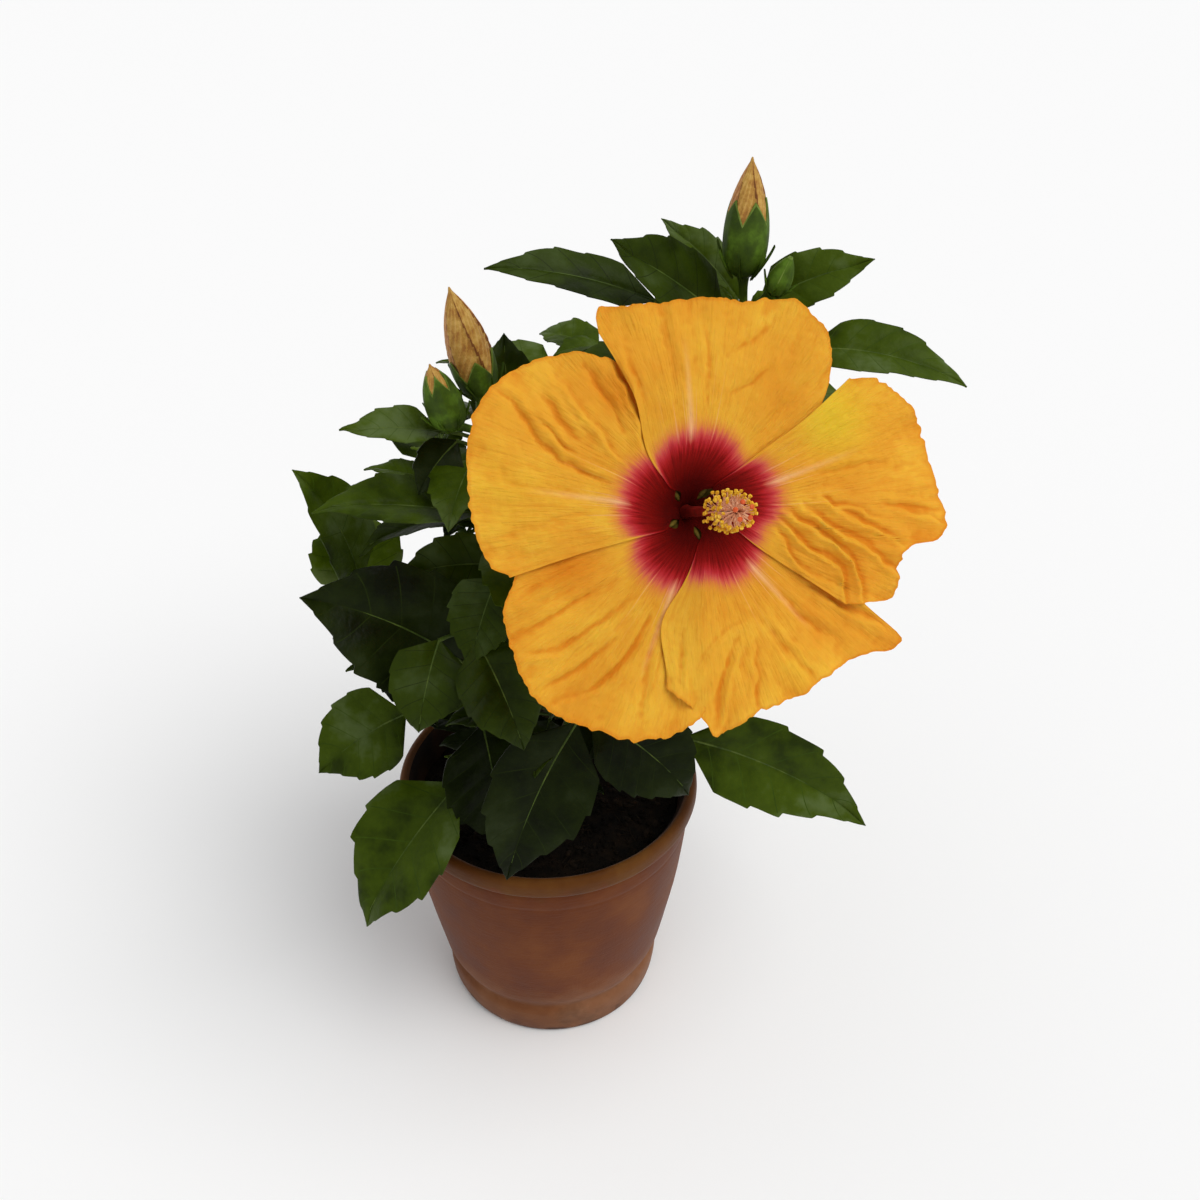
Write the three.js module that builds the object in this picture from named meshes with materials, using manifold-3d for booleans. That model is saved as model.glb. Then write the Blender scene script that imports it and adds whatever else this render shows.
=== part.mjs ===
// A hibiscus shrub in a terracotta pot: one great open bloom, four buds and a crown of toothed leaves
// on woody stems that fork just above the potting mix. Millimetres, +Z up. The origin is the middle
// of the pot's flat underside, and -Y is the side that the bloom faces.
import * as THREE from "three";
import { mergeVertices } from "three/addons/utils/BufferGeometryUtils.js";
import Module from "manifold-3d";

const wasm = await Module();
wasm.setup();

// Driving dimensions
const GAP = 0.3; // clearance between neighbouring pieces

const POT = {
  rimRadius: 60,
  height: 110,
  wall: 4.2,
  floor: 6,
  bandHeight: 8.5, // the rolled band under the lip
  bandStep: 2.3, // how far the band stands out of the body
  footHeight: 17,
  footRadius: 44,
  waistRadius: 45.6, // where the tapering body meets the foot
  drainRadius: 4,
  drainRing: 27,
  drains: 5,
  sides: 32,
};
const MIX = { top: 97, lump: 2.4, flat: 16, sides: 24 }; // the potting mix, flat round the trunk
const TRUNK = {
  foot: [1.6, 7],
  axis: [[1.6, 7, 108], [2.6, 8, 120], [4, 9, 133]],
  neckRadius: 4.8,
  topRadius: 3.8,
  flare: 2.6, // how far the root flare stands out at the foot
  flareHeight: 4,
};

const LEAF = {
  thickness: 1.1,
  steps: 8, // along the blade, with a tooth at every other one
  stalkSteps: 2,
  widest: 0.36, // of the way from base to tip
  tooth: 0.1, // of the half width there
  fold: 12, // degrees that each half rises from the midrib
  petioleRadius: 0.9,
  arch: 0.1, // how far a petiole bows up, of its length
  droop: 30, // degrees that a placed blade bends down along its length
};
const BLOOM = {
  throat: [48, -41, 260], // the bottom of the funnel
  heading: -76,
  rise: 32,
  depth: 17, // of the funnel
  spread: 8.5,
  clawRadius: 2.1,
  clawSpread: 0.6, // of the petal's full spread, at the throat
  reflex: 4.5, // how far the rim bends back
  reach: 75,
  lift: 1.4, // how far an overlapping edge stands over its neighbour
  thickness: 0.9,
  ruffle: 1.6,
};
// Each petal: the angle of its midline, half its spread, its reach along seven rays from its
// clockwise to its anticlockwise edge, and for each of those edges 1 if it lies on top or -1 if under.
const PETALS = [
  { name: "petal_top", at: 68, half: 45, reach: [50, 61, 73, 67, 64, 64, 62], over: [-1, 1] },
  { name: "petal_left", at: 145, half: 46, reach: [46, 53, 69, 75, 72, 70, 62], over: [-1, 1] },
  { name: "petal_low_left", at: 224, half: 41, reach: [54, 64, 73, 76, 72, 72, 62], over: [-1, -1] },
  { name: "petal_low_right", at: 290, half: 38, reach: [54, 64, 68, 64, 63, 80, 66], over: [1, -1] },
  { name: "petal_right", at: -3, half: 36, reach: [60, 66, 75, 81, 77, 75, 63], over: [1, 1] },
];
const COLUMN = { foot: -2.1, length: 58, radius: 1.7, headFrom: 38, headRadius: 5.4 };
const CALYX = {
  behind: 2.5, // how far it stays behind the funnel
  thickness: 1.1,
  lobes: 5,
  reach: 17, // of each lobe, from the bloom's axis
  spread: 30, // half a lobe's width at its root, in degrees
  cupLength: 9,
  cupRadius: 6.5,
  stalkRadius: 1.6,
  stalk: [[44, 6, 224], [47, 15, 222]], // the places it passes through on its way to the bough
};
const BUD = {
  lobes: 5,
  lobeTop: 0.66, // how far the calyx's points and the notches between them reach up a furled bud
  notchTop: 0.46,
  furl: 0.86, // the furled petals' radius, of the calyx's
  stalkRadius: 1.1,
};

// Each bough leaves the trunk's axis and passes through a place or two to its tip.
const BOUGHS = {
  bough_right: { path: [[3.8, 8.8, 131], [28, 13, 176], [48, 16, 226], [60, 16, 268]], radii: [3.1, 2.2] },
  bough_left: { path: [[3.8, 8.8, 131], [-2, 13, 175], [-14, 9, 218], [-19, 5, 245]], radii: [2.9, 2.0] },
  bough_left_mid: { path: [[3, 8.2, 124], [-6, 6, 156], [-9, 4, 188]], radii: [2.7, 2.0] },
  bough_front: { path: [[2.6, 8, 120], [7, -4, 134], [9, -14, 148]], radii: [2.6, 1.9] },
  bough_front_left: { path: [[2.4, 7.8, 118], [-6, -6, 140], [-11, -13, 164]], radii: [2.6, 1.9] },
  bough_left_low: { path: [[2.6, 8, 120], [-22, 8, 134], [-46, 6, 148]], radii: [2.5, 1.8] },
  bough_low_left: { path: [[2.2, 7.6, 114], [-6, 1, 118], [-13, -4, 121]], radii: [2.3, 1.8] },
  bough_right_low: { path: [[3, 8.2, 124], [24, 12, 140], [42, 6, 152]], radii: [2.7, 1.9] },
  bough_back_left: { path: [[3, 8.2, 124], [-14, 26, 156], [-30, 42, 190]], radii: [2.8, 1.9] },
  bough_back: { path: [[3.4, 8.6, 128], [12, 28, 168], [20, 48, 212]], radii: [2.9, 1.9] },
  bough_back_right: { path: [[3.4, 8.6, 128], [30, 26, 158], [56, 42, 192]], radii: [2.8, 1.9] },
  bough_back_low: { path: [[2.4, 7.6, 116], [3, 22, 130], [6, 38, 148]], radii: [2.4, 1.8] },
};

// Each mass of foliage: the bough it grows on, the places its twig passes through, the leaves that
// are placed one by one, and a seeded rule for the rest. A placed leaf says how far up the twig it
// sits, its petiole's length, heading and rise, its blade's length, heading and pitch, its roll, and
// its width as a share of its length. Skipped numbers are leaves of the rule that would touch a
// neighbour or leave the mass's own space.
const MASSES = {
  foliage_top_right: {
    on: "bough_right",
    path: [[64, 13, 288], [67, 10, 306]],
    leaves: [
      [0.45, [35, -168, 42], [56, -172, 30], -25, 0.34],
      [0.55, [17, -130, 72], [50, -160, 46], -50, 0.52],
      [0.5, [18, 74, 65], [35, 154, 48], -40, 0.5],
      [0.6, [17, 0, 60], [36, 0, 37], 45, 0.6],
      [0.35, [28, -4, 17], [54, -19, 12], 20, 0.4],
    ],
    rule: { seed: 3, count: 5, from: 0, to: 0.5, start: -180, blade: [34, 48], skip: [] },
  },
  foliage_top_left: {
    on: "bough_left",
    path: [[-20, 1, 262], [-19, -2, 272]],
    leaves: [
      [0.6, [19, -134, 31], [33, -157, 26], -15, 0.58],
      [0.75, [12, 30, -20], [32, 165, 62], -40, 0.62],
      [0.5, [20, 60, 15], [34, 20, 50], 30, 0.6],
      [0.4, [15, -124, 40], [22, -140, -25], -60, 0.75],
    ],
    rule: { seed: 5, count: 4, from: 0.1, to: 0.8, start: -110, blade: [30, 44], skip: [] },
  },
  foliage_left: {
    on: "bough_left_mid",
    path: [[-10, 2, 214], [-12, -3, 240]],
    leaves: [
      [0.9, [16, -128, 25], [53, -164, 30], -5, 0.56],
      [0.75, [14, -156, 33], [44, -158, 12], 5, 0.56],
      [0.55, [15, -105, 11], [36, -160, 15], -60, 0.66],
    ],
    rule: { seed: 7, count: 5, from: 0.05, to: 0.8, start: -130, blade: [38, 52], skip: [0] },
  },
  foliage_left_low: {
    on: "bough_left_low",
    path: [[-56, 4, 156], [-62, 2, 168]],
    leaves: [
      [0.9, [38, -146, 85], [52, -165, 82], -40, 0.66],
      [0.2, [22, -90, -6], [38, -164, -4], -40, 0.8],
    ],
    rule: { seed: 8, count: 4, from: 0.3, to: 0.9, start: -120, blade: [34, 46], skip: [2] },
  },
  foliage_front_left: {
    on: "bough_front_left",
    path: [[-14, -22, 192], [-15, -27, 212]],
    leaves: [
      [0.7, [15, -148, -4], [60, -168, 46], -60, 0.7],
      [0.98, [20, -74, 69], [31, -119, -38], -5, 0.8],
      [0.8, [26, -137, 16], [33, -111, -38], -25, 0.8],
      [0.9, [21, -104, 14], [41, -52, -36], 25, 0.68],
    ],
    rule: { seed: 9, count: 3, from: 0.1, to: 0.6, start: -160, blade: [34, 44], skip: [] },
  },
  foliage_low_left: {
    on: "bough_low_left",
    path: [[-22, -9, 125], [-30, -14, 127]],
    leaves: [
      [0.8, [22, -129, 6], [58, -132, -28], -5, 0.7],
      [0.2, [32, -135, 58], [42, -55, -35], -10, 0.8],
    ],
    rule: { seed: 11, count: 3, from: 0.3, to: 0.8, start: -20, blade: [34, 44], skip: [] },
  },
  foliage_front: {
    on: "bough_front",
    path: [[10, -20, 156], [10, -24, 164]],
    leaves: [
      [0.9, [22, -105, 29], [64, -130, -43], -60, 0.8],
      [0.8, [21, -66, 35], [51, -9, -28], 50, 0.62],
    ],
    rule: { seed: 13, count: 1, from: 0.3, to: 0.8, start: -160, blade: [30, 40], skip: [] },
  },
  foliage_low_right: {
    on: "bough_right_low",
    path: [[52, 0, 158], [58, -8, 163]],
    leaves: [[0.8, [23, -92, -28], [71, -12, -12], 70, 0.58]],
    rule: { seed: 15, count: 5, from: 0.1, to: 0.95, start: -120, blade: [38, 52], skip: [2] },
  },
  foliage_back_left: {
    on: "bough_back_left",
    path: [[-38, 50, 206], [-43, 55, 224]],
    leaves: [],
    rule: { seed: 17, count: 9, from: 0.05, to: 1, start: 60, blade: [38, 56], skip: [1, 4, 6, 7] },
  },
  foliage_back: {
    on: "bough_back",
    path: [[23, 56, 232], [24, 60, 252]],
    leaves: [],
    rule: { seed: 19, count: 9, from: 0.05, to: 1, start: 50, blade: [40, 58], skip: [1, 4] },
  },
  foliage_back_right: {
    on: "bough_back_right",
    path: [[66, 46, 208], [72, 48, 226]],
    leaves: [],
    rule: { seed: 21, count: 9, from: 0.05, to: 1, start: -80, blade: [40, 56], skip: [5, 7] },
  },
  foliage_back_low: {
    on: "bough_back_low",
    path: [[8, 48, 160], [9, 54, 172]],
    leaves: [],
    rule: { seed: 23, count: 6, from: 0.1, to: 1, start: 80, blade: [40, 56], skip: [1, 4] },
  },
};

// Each bud: the foot of its stalk, the base and the tip of the bud, its radius, and whether the
// furled petals show above the calyx.
const BUDS = {
  bud_right: { foot: [67.3, 9.6, 306.8], base: [67, 8, 317], tip: [67, 8, 355], radius: 7, furled: true },
  bud_left: {
    foot: [-18.8, -2.4, 272.9],
    base: [-19, -1, 280],
    tip: [-25.5, -8, 320],
    radius: 6.7,
    furled: true,
  },
  bud_left_low: {
    foot: [-20.6, -3.2, 268],
    base: [-26, -14, 275],
    tip: [-31, -18, 298],
    radius: 5.6,
    furled: true,
  },
  bud_small: { foot: [68.2, 8.6, 303], base: [74, 2, 309], tip: [81, 0, 320], radius: 3.8, furled: false },
};

const rad = THREE.MathUtils.degToRad;
const mix = THREE.MathUtils.lerp;
const smooth = THREE.MathUtils.smoothstep; // smooth(x, from, to)
const v3 = (x, y, z) => new THREE.Vector3(x, y, z);

// The same run of numbers from 0 to 1 for the same seed.
function seeded(seed) {
  let state = seed >>> 0;
  return () => {
    state = (Math.imul(state, 1664525) + 1013904223) >>> 0;
    return state / 4294967296;
  };
}

// Solids and meshes
function solidOf(geometry) {
  const bare = geometry.clone();
  bare.deleteAttribute("normal");
  bare.deleteAttribute("uv");
  const merged = mergeVertices(bare, 1e-3);
  const corners = [];
  for (let i = 0; i < merged.index.count; i += 3) {
    const [a, b, c] = [0, 1, 2].map((k) => merged.index.getX(i + k));
    if (a !== b && b !== c && c !== a) corners.push(a, b, c);
  }
  const made = () =>
    new wasm.Manifold(
      new wasm.Mesh({
        numProp: 3,
        vertProperties: new Float32Array(merged.attributes.position.array),
        triVerts: new Uint32Array(corners),
      }),
    );
  const solid = made();
  if (solid.volume() > 0) return solid;
  for (let i = 0; i < corners.length; i += 3) {
    [corners[i], corners[i + 1]] = [corners[i + 1], corners[i]];
  }
  return made();
}

function geometryOf(solid) {
  const mesh = solid.getMesh();
  const geometry = new THREE.BufferGeometry();
  const points = new Float32Array(mesh.numVert * 3);
  for (let i = 0; i < mesh.numVert; i++) {
    for (let k = 0; k < 3; k++) points[3 * i + k] = mesh.vertProperties[mesh.numProp * i + k];
  }
  geometry.setAttribute("position", new THREE.BufferAttribute(points, 3));
  geometry.setIndex(new THREE.BufferAttribute(new Uint32Array(mesh.triVerts), 1));
  return geometry;
}

const joined = (solids) => solids.reduce((sum, next) => sum.add(next));
const largestOf = (solid) => solid.decompose().sort((a, b) => b.volume() - a.volume())[0];

// Moves every vertex of a geometry to where place(vertex) puts it.
function reshaped(geometry, place) {
  const at = geometry.attributes.position;
  for (let i = 0; i < at.count; i++) {
    const p = place(v3(at.getX(i), at.getY(i), at.getZ(i)));
    at.setXYZ(i, p.x, p.y, p.z);
  }
  return geometry;
}

function curveOf(points) {
  return new THREE.CatmullRomCurve3(points.map((p) => v3(...p)), false, "centripetal");
}

// Two directions across a curve, from the world axis that the curve runs along least.
function acrossOf(curve) {
  const chord = curve.getPoint(1).sub(curve.getPoint(0));
  const axes = [v3(1, 0, 0), v3(0, 1, 0), v3(0, 0, 1)];
  const least = axes.sort((a, b) => Math.abs(a.dot(chord)) - Math.abs(b.dot(chord)))[0];
  return (tangent) => {
    const side = least.clone().cross(tangent).normalize();
    return [side, tangent.clone().cross(side).normalize()];
  };
}

// A tapering round limb along a curve, with flat ends; radiusAt(t) is its radius.
function limbSolid(curve, radiusAt, { sides = 7, steps = 6, grow = 0 } = {}) {
  const across = acrossOf(curve);
  const rod = new THREE.CylinderGeometry(1, 1, 1, sides, steps);
  return solidOf(
    reshaped(rod, (p) => {
      const t = p.y + 0.5;
      const [a, b] = across(curve.getTangentAt(t));
      const r = radiusAt(t) + grow;
      return curve.getPointAt(t).addScaledVector(a, p.x * r).addScaledVector(b, p.z * r);
    }),
  );
}

// A thin sheet: place(u, t, side) with u from -1 to 1 across, t from 0 to 1 along, side 1 or -1.
function sheetSolid(across, along, place) {
  const slab = new THREE.BoxGeometry(2, 2, 1, across, 1, along);
  return solidOf(reshaped(slab, (p) => place(p.x, p.z + 0.5, Math.sign(p.y))));
}

// Lathes turn about Y, and the plant stands along Z.
const upright = (geometry) => geometry.rotateX(Math.PI / 2);
const lathed = (profile, sides) =>
  upright(new THREE.LatheGeometry(profile.map(([r, z]) => new THREE.Vector2(r, z)), sides));

// The pot
function outerProfile() {
  const { rimRadius: R, height: H, bandHeight, bandStep, footHeight, footRadius, waistRadius } = POT;
  return [
    [0, 0],
    [footRadius - 2, 0],
    [footRadius, 2.2],
    [footRadius + 1.9, footHeight - 4.5],
    [footRadius + 1.4, footHeight - 1.5],
    [waistRadius, footHeight + 1.5],
    [R - bandStep, H - bandHeight - 2],
    [R - 0.9, H - bandHeight],
    [R, H - bandHeight + 2],
    [R, H - 2.4],
    [R - 1, H - 0.6],
    [R - 2.4, H],
  ];
}

// The inner wall's radius at a height.
function innerRadius(z) {
  const { rimRadius, wall, height, bandStep, waistRadius, footHeight, footRadius, floor } = POT;
  if (z > footHeight) {
    return mix(waistRadius, rimRadius - bandStep, (z - footHeight) / (height - footHeight)) - wall + 0.6;
  }
  return mix(footRadius, waistRadius + 0.6, (z - floor) / (footHeight - floor)) - wall;
}

function potSolid() {
  const { rimRadius, wall, height, footHeight, floor, footRadius } = POT;
  const inner = [
    [rimRadius - wall, height - 0.9],
    [innerRadius(height - 5), height - 5],
    [innerRadius(footHeight), footHeight],
    [footRadius - wall - 1, floor],
    [0, floor],
  ];
  let pot = solidOf(lathed([...outerProfile(), ...inner], POT.sides));
  for (let i = 0; i < POT.drains; i++) {
    const turn = (i / POT.drains) * 2 * Math.PI;
    const drain = upright(new THREE.CylinderGeometry(POT.drainRadius, POT.drainRadius, 3 * floor, 8));
    drain.translate(POT.drainRing * Math.cos(turn), POT.drainRing * Math.sin(turn), 0);
    pot = pot.subtract(solidOf(drain));
  }
  return pot;
}

// The potting mix is flat round the trunk's foot, and crumbly from there to the wall.
function mixSolid() {
  const away = GAP + 0.5;
  const edge = innerRadius(MIX.top) - away;
  const profile = [
    [0, POT.floor + GAP],
    [POT.footRadius - POT.wall - 2 - away, POT.floor + GAP],
    [innerRadius(POT.footHeight) - away, POT.footHeight],
    ...[edge, edge - 4, 40, 30, 20, 10, 0].map((r) => [r, MIX.top]),
  ];
  const random = seeded(41);
  const lumps = new Map();
  return solidOf(
    reshaped(lathed(profile, MIX.sides), (p) => {
      const fromTrunk = Math.hypot(p.x - TRUNK.foot[0], p.y - TRUNK.foot[1]);
      if (p.z < MIX.top - 0.1 || fromTrunk < MIX.flat) return p;
      const key = `${Math.round(p.x * 10)} ${Math.round(p.y * 10)}`;
      if (!lumps.has(key)) lumps.set(key, (random() - 0.6) * MIX.lump);
      return v3(p.x, p.y, p.z + lumps.get(key));
    }),
  );
}

// Trunk and boughs
const trunk = {
  curve: curveOf([[...TRUNK.foot, MIX.top + GAP], ...TRUNK.axis]),
  radiusAt(t) {
    const height = t * this.curve.getLength();
    return mix(TRUNK.neckRadius, TRUNK.topRadius, t) + TRUNK.flare * Math.exp(-height / TRUNK.flareHeight);
  },
};

function limbsOf() {
  const round = { sides: 9, steps: 8 };
  const made = { trunk: limbSolid(trunk.curve, (t) => trunk.radiusAt(t), round) };
  let taken = limbSolid(trunk.curve, (t) => trunk.radiusAt(t), { ...round, grow: GAP });
  for (const [name, bough] of Object.entries(BOUGHS)) {
    const curve = curveOf(bough.path);
    const radiusAt = (t) => mix(bough.radii[0], bough.radii[1], t);
    made[name] = largestOf(limbSolid(curve, radiusAt).subtract(taken));
    taken = taken.add(limbSolid(curve, radiusAt, { grow: GAP }));
  }
  return { made, taken };
}

// Leaves
const direction = (heading, rise) =>
  v3(
    Math.cos(rad(heading)) * Math.cos(rad(rise)),
    Math.sin(rad(heading)) * Math.cos(rad(rise)),
    Math.sin(rad(rise)),
  );

// The blade's half width at t from base to tip, as a share of its greatest.
function outline(t) {
  const { widest, steps, tooth } = LEAF;
  const body =
    t < widest
      ? Math.sin((Math.PI / 2) * (t / widest) ** 0.6)
      : Math.cos((Math.PI / 2) * ((t - widest) / (1 - widest)) ** 1.15);
  const step = Math.round(t * steps);
  if (step === 0 || step === steps) return body;
  return body * (step % 2 ? 1 + tooth : 1 - tooth);
}

// The petiole rises from the stem's axis, and bows up a little on its way to the blade.
function petioleStations(foot, base, facing) {
  const { stalkSteps, petioleRadius, arch } = LEAF;
  const knee = foot.clone().lerp(base, 0.5).add(v3(0, 0, arch * foot.distanceTo(base)));
  const stalk = new THREE.QuadraticBezierCurve3(foot, knee, base);
  return Array.from({ length: stalkSteps }, (_, i) => {
    const forward = stalk.getTangent(i / stalkSteps);
    const left = facing.clone().cross(forward).normalize();
    const up = forward.clone().cross(left);
    const mid = stalk.getPoint(i / stalkSteps);
    return { mid, left, up, half: petioleRadius, thick: petioleRadius, rise: 0 };
  });
}

// The blade starts at one pitch and droops along its length, rolled about its midrib.
function bladeStations(base, [blade, way, pitch], roll, width, droop) {
  const { steps, thickness, petioleRadius, fold } = LEAF;
  const mid = base.clone();
  const stations = [];
  for (let i = 0; i <= steps; i++) {
    const forward = direction(way, pitch - (droop * i) / steps);
    const left = v3(-Math.sin(rad(way)), Math.cos(rad(way)), 0).applyAxisAngle(forward, rad(roll));
    const half = Math.max(petioleRadius / 2, ((width * blade) / 2) * outline(i / steps));
    stations.push({
      mid: mid.clone(),
      left,
      up: forward.clone().cross(left),
      half: half * Math.cos(rad(fold)),
      thick: i === 0 ? petioleRadius : thickness / 2,
      rise: half * Math.sin(rad(fold)),
    });
    mid.addScaledVector(direction(way, pitch - (droop * (i + 0.5)) / steps), blade / steps);
  }
  return stations;
}

// A leaf is one solid of lozenge sections along its petiole and blade.
function leafSolid(stem, [at, [petiole, heading, rise], blade, roll, width, droop = LEAF.droop]) {
  const foot = stem.getPointAt(at);
  const base = foot.clone().addScaledVector(direction(heading, rise), petiole);
  const onBlade = bladeStations(base, blade, roll, width, droop);
  const stations = [...petioleStations(foot, base, onBlade[0].up), ...onBlade];
  return sheetSolid(2, stations.length - 1, (u, t, side) => {
    const { mid, left, up, half, thick, rise } = stations[Math.round(t * (stations.length - 1))];
    const height = Math.abs(u) * rise + (1 - Math.abs(u)) * thick * side;
    return mid.clone().addScaledVector(left, u * half).addScaledVector(up, height);
  });
}

// The rule: leaves in a spiral up the twig, each a golden turn on from the last.
function ruledRows({ seed, count, from, to, start, blade, skip }) {
  const random = seeded(seed);
  const rows = [];
  for (let i = 0; i < count; i++) {
    const [a, b, c, d, e] = [random(), random(), random(), random(), random()];
    const length = mix(blade[0], blade[1], a);
    const heading = start + 137.5 * i + 24 * (d - 0.5);
    const petiole = [length * mix(0.35, 0.55, c), heading, mix(20, 45, e)];
    const row = [
      mix(from, to, (i + 0.5 * b) / count),
      petiole,
      [length, heading, mix(0, 30, c)],
      20 * (b - 0.5),
      0.64,
      mix(36, 62, a),
    ];
    if (!skip.includes(i)) rows.push(row);
  }
  return rows;
}

// A twig starts just clear of its bough's tip.
function twigCurve({ on, path }) {
  const tip = v3(...BOUGHS[on].path.at(-1));
  const start = tip.clone().addScaledVector(v3(...path[0]).sub(tip).normalize(), 3 * GAP);
  return curveOf([start.toArray(), ...path]);
}

function massSolid(mass, taken) {
  const { leaves, rule } = mass;
  const stem = twigCurve(mass);
  const twig = limbSolid(stem, (t) => mix(1.9, 1.2, t), { sides: 6, steps: 4 });
  const rows = [...leaves, ...ruledRows(rule)];
  return largestOf(joined([twig, ...rows.map((row) => leafSolid(stem, row))]).subtract(taken));
}

// The bloom
const axis = direction(BLOOM.heading, BLOOM.rise);
const across = v3(-Math.sin(rad(BLOOM.heading)), Math.cos(rad(BLOOM.heading)), 0);
const upward = axis.clone().cross(across);

// A place in the bloom: degrees about its axis, distance from the axis, height over the throat.
function inBloom(angle, radius, height) {
  return v3(...BLOOM.throat)
    .addScaledVector(across, radius * Math.cos(rad(angle)))
    .addScaledVector(upward, radius * Math.sin(rad(angle)))
    .addScaledVector(axis, height);
}

// The funnel's height over the throat: steep from the claws, then flat, then bent back.
function funnel(radius) {
  const { depth, spread, clawRadius, reflex, reach } = BLOOM;
  return depth * (1 - Math.exp(-(radius - clawRadius) / spread)) - reflex * (radius / reach) ** 2;
}

function reachAt(reach, s) {
  const place = ((s + 1) / 2) * (reach.length - 1);
  const i = Math.min(reach.length - 2, Math.floor(place));
  return mix(reach[i], reach[i + 1], place - i);
}

function petalSolid({ at, half, reach, over }) {
  const { clawRadius, clawSpread, lift, ruffle, thickness } = BLOOM;
  return sheetSolid(10, 8, (s, t, side) => {
    const outer = reachAt(reach, s);
    const radius = mix(clawRadius, outer, t);
    const spread = mix(clawSpread, 1, smooth(radius, clawRadius, 13));
    const layer = s < 0 ? over[0] : over[1];
    const lifted = lift * layer * s * s * smooth(radius, 3, 11);
    const wave = ruffle * Math.sin(5 * s + at) * smooth(t, 0.5, 1) * (1 - s * s);
    return inBloom(at + s * half * spread, radius, funnel(radius) + lifted + wave + (side * thickness) / 2);
  });
}

// The calyx hugs the back of the funnel with pointed lobes, and its stalk runs to the bough.
function calyxSolid(taken) {
  const { behind, thickness, reach, spread, cupLength, cupRadius, stalkRadius } = CALYX;
  const lobe = (i) =>
    sheetSolid(2, 4, (u, t, side) => {
      const radius = mix(0.5, reach, t);
      const wide = spread * (1.1 - t ** 3);
      const height = funnel(Math.max(radius, 2 * BLOOM.clawRadius)) - behind - (side < 0 ? thickness : 0);
      return inBloom((i / CALYX.lobes) * 360 + u * wide, radius, height);
    });
  const onAxis = (height) => inBloom(0, 0, height);
  const cupLine = new THREE.LineCurve3(onAxis(-behind - 0.2), onAxis(-cupLength));
  const cup = limbSolid(cupLine, (t) => cupRadius * (1 - 0.5 * t * t), { sides: 10, steps: 3 });
  const stalkPoints = [onAxis(1 - cupLength), onAxis(-2.5 * cupLength), ...CALYX.stalk.map((p) => v3(...p))];
  const stalk = limbSolid(new THREE.CatmullRomCurve3(stalkPoints), () => stalkRadius, { sides: 6, steps: 6 });
  const lobes = Array.from({ length: CALYX.lobes }, (_, i) => lobe(i));
  return largestOf(joined([cup, stalk, ...lobes]).subtract(taken));
}

function columnSolid() {
  const { foot, length, radius, headFrom, headRadius } = COLUMN;
  const line = (from, to) => new THREE.LineCurve3(inBloom(0, 0, from), inBloom(0, 0, to));
  const rod = limbSolid(line(foot, length), (t) => radius * (1 - 0.4 * t), { sides: 7, steps: 3 });
  const swell = (t) => 1 + (headRadius - 1) * Math.abs(Math.sin(Math.PI * t)) ** 0.6;
  const head = limbSolid(line(headFrom, length - headRadius + 1), swell, { sides: 9, steps: 5 });
  return rod.add(head);
}

// Buds: petals furled to a point, in a calyx with pointed lobes on a short stalk.
function budSolids({ foot, base, tip, radius, furled }, taken) {
  const { lobes, lobeTop, notchTop, furl: share, stalkRadius } = BUD;
  const line = new THREE.LineCurve3(v3(...base), v3(...tip));
  const [a, b] = acrossOf(line)(line.getTangent(0));
  const plump = (t) => Math.sin(Math.PI * Math.min(0.97, 0.12 + 0.88 * t) ** 0.8) ** 0.8;
  const shell = (from, width, steps, topAt) =>
    solidOf(
      reshaped(new THREE.CylinderGeometry(1, 1, 1, 2 * lobes, steps), (p) => {
        const onLobe = Math.round((Math.atan2(p.z, p.x) / Math.PI) * lobes) % 2 === 0;
        const t = mix(from, topAt(onLobe), p.y + 0.5);
        const r = Math.max(0.35, radius * width * plump(t));
        return line.getPoint(t).addScaledVector(a, p.x * r).addScaledVector(b, p.z * r);
      }),
    );
  const stalkLine = new THREE.LineCurve3(v3(...foot), line.getPoint(0.06));
  const stalk = limbSolid(stalkLine, () => stalkRadius, { sides: 5, steps: 1 });
  if (!furled) return { calyx: largestOf(shell(0.02, 1, 6, () => 0.98).add(stalk).subtract(taken)) };
  const cup = shell(0.02, 1, 4, (onLobe) => (onLobe ? lobeTop : notchTop));
  const furl = shell(0.1, share, 7, () => 1);
  const room = shell(0.1 - (2 * GAP) / line.getLength(), share + GAP / radius, 7, () => 1.02);
  return { furl, calyx: largestOf(cup.add(stalk).subtract(room).subtract(taken)) };
}

const COLOURS = {
  clay: [0x6e412d, 0.8],
  mix: [0x1a1512, 1],
  bark: [0x5b5136, 0.85],
  leaf: [0x2c4a1c, 0.5],
  calyx: [0x3f6a22, 0.6],
  petal: [0xe9a92c, 0.7],
  column: [0xd8a030, 0.6],
  furl: [0xc98d45, 0.6],
};

const plant = new THREE.Group();
function add(name, solid, finish) {
  const [color, roughness] = COLOURS[finish];
  const material = new THREE.MeshStandardMaterial({ color, roughness, metalness: 0 });
  const mesh = new THREE.Mesh(geometryOf(solid), material);
  mesh.name = name;
  plant.add(mesh);
}

add("pot", potSolid(), "clay");
add("potting_mix", mixSolid(), "mix");
const { made, taken } = limbsOf();
for (const [name, solid] of Object.entries(made)) add(name, solid, "bark");
for (const [name, mass] of Object.entries(MASSES)) add(name, massSolid(mass, taken), "leaf");
for (const petal of PETALS) add(petal.name, petalSolid(petal), "petal");
add("bloom_calyx", calyxSolid(taken), "calyx");
add("stamen_column", columnSolid(), "column");
for (const [name, bud] of Object.entries(BUDS)) {
  const { furl, calyx } = budSolids(bud, taken);
  if (furl) add(`${name}_furl`, furl, "furl");
  add(`${name}_calyx`, calyx, "calyx");
}

export default plant;
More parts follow.
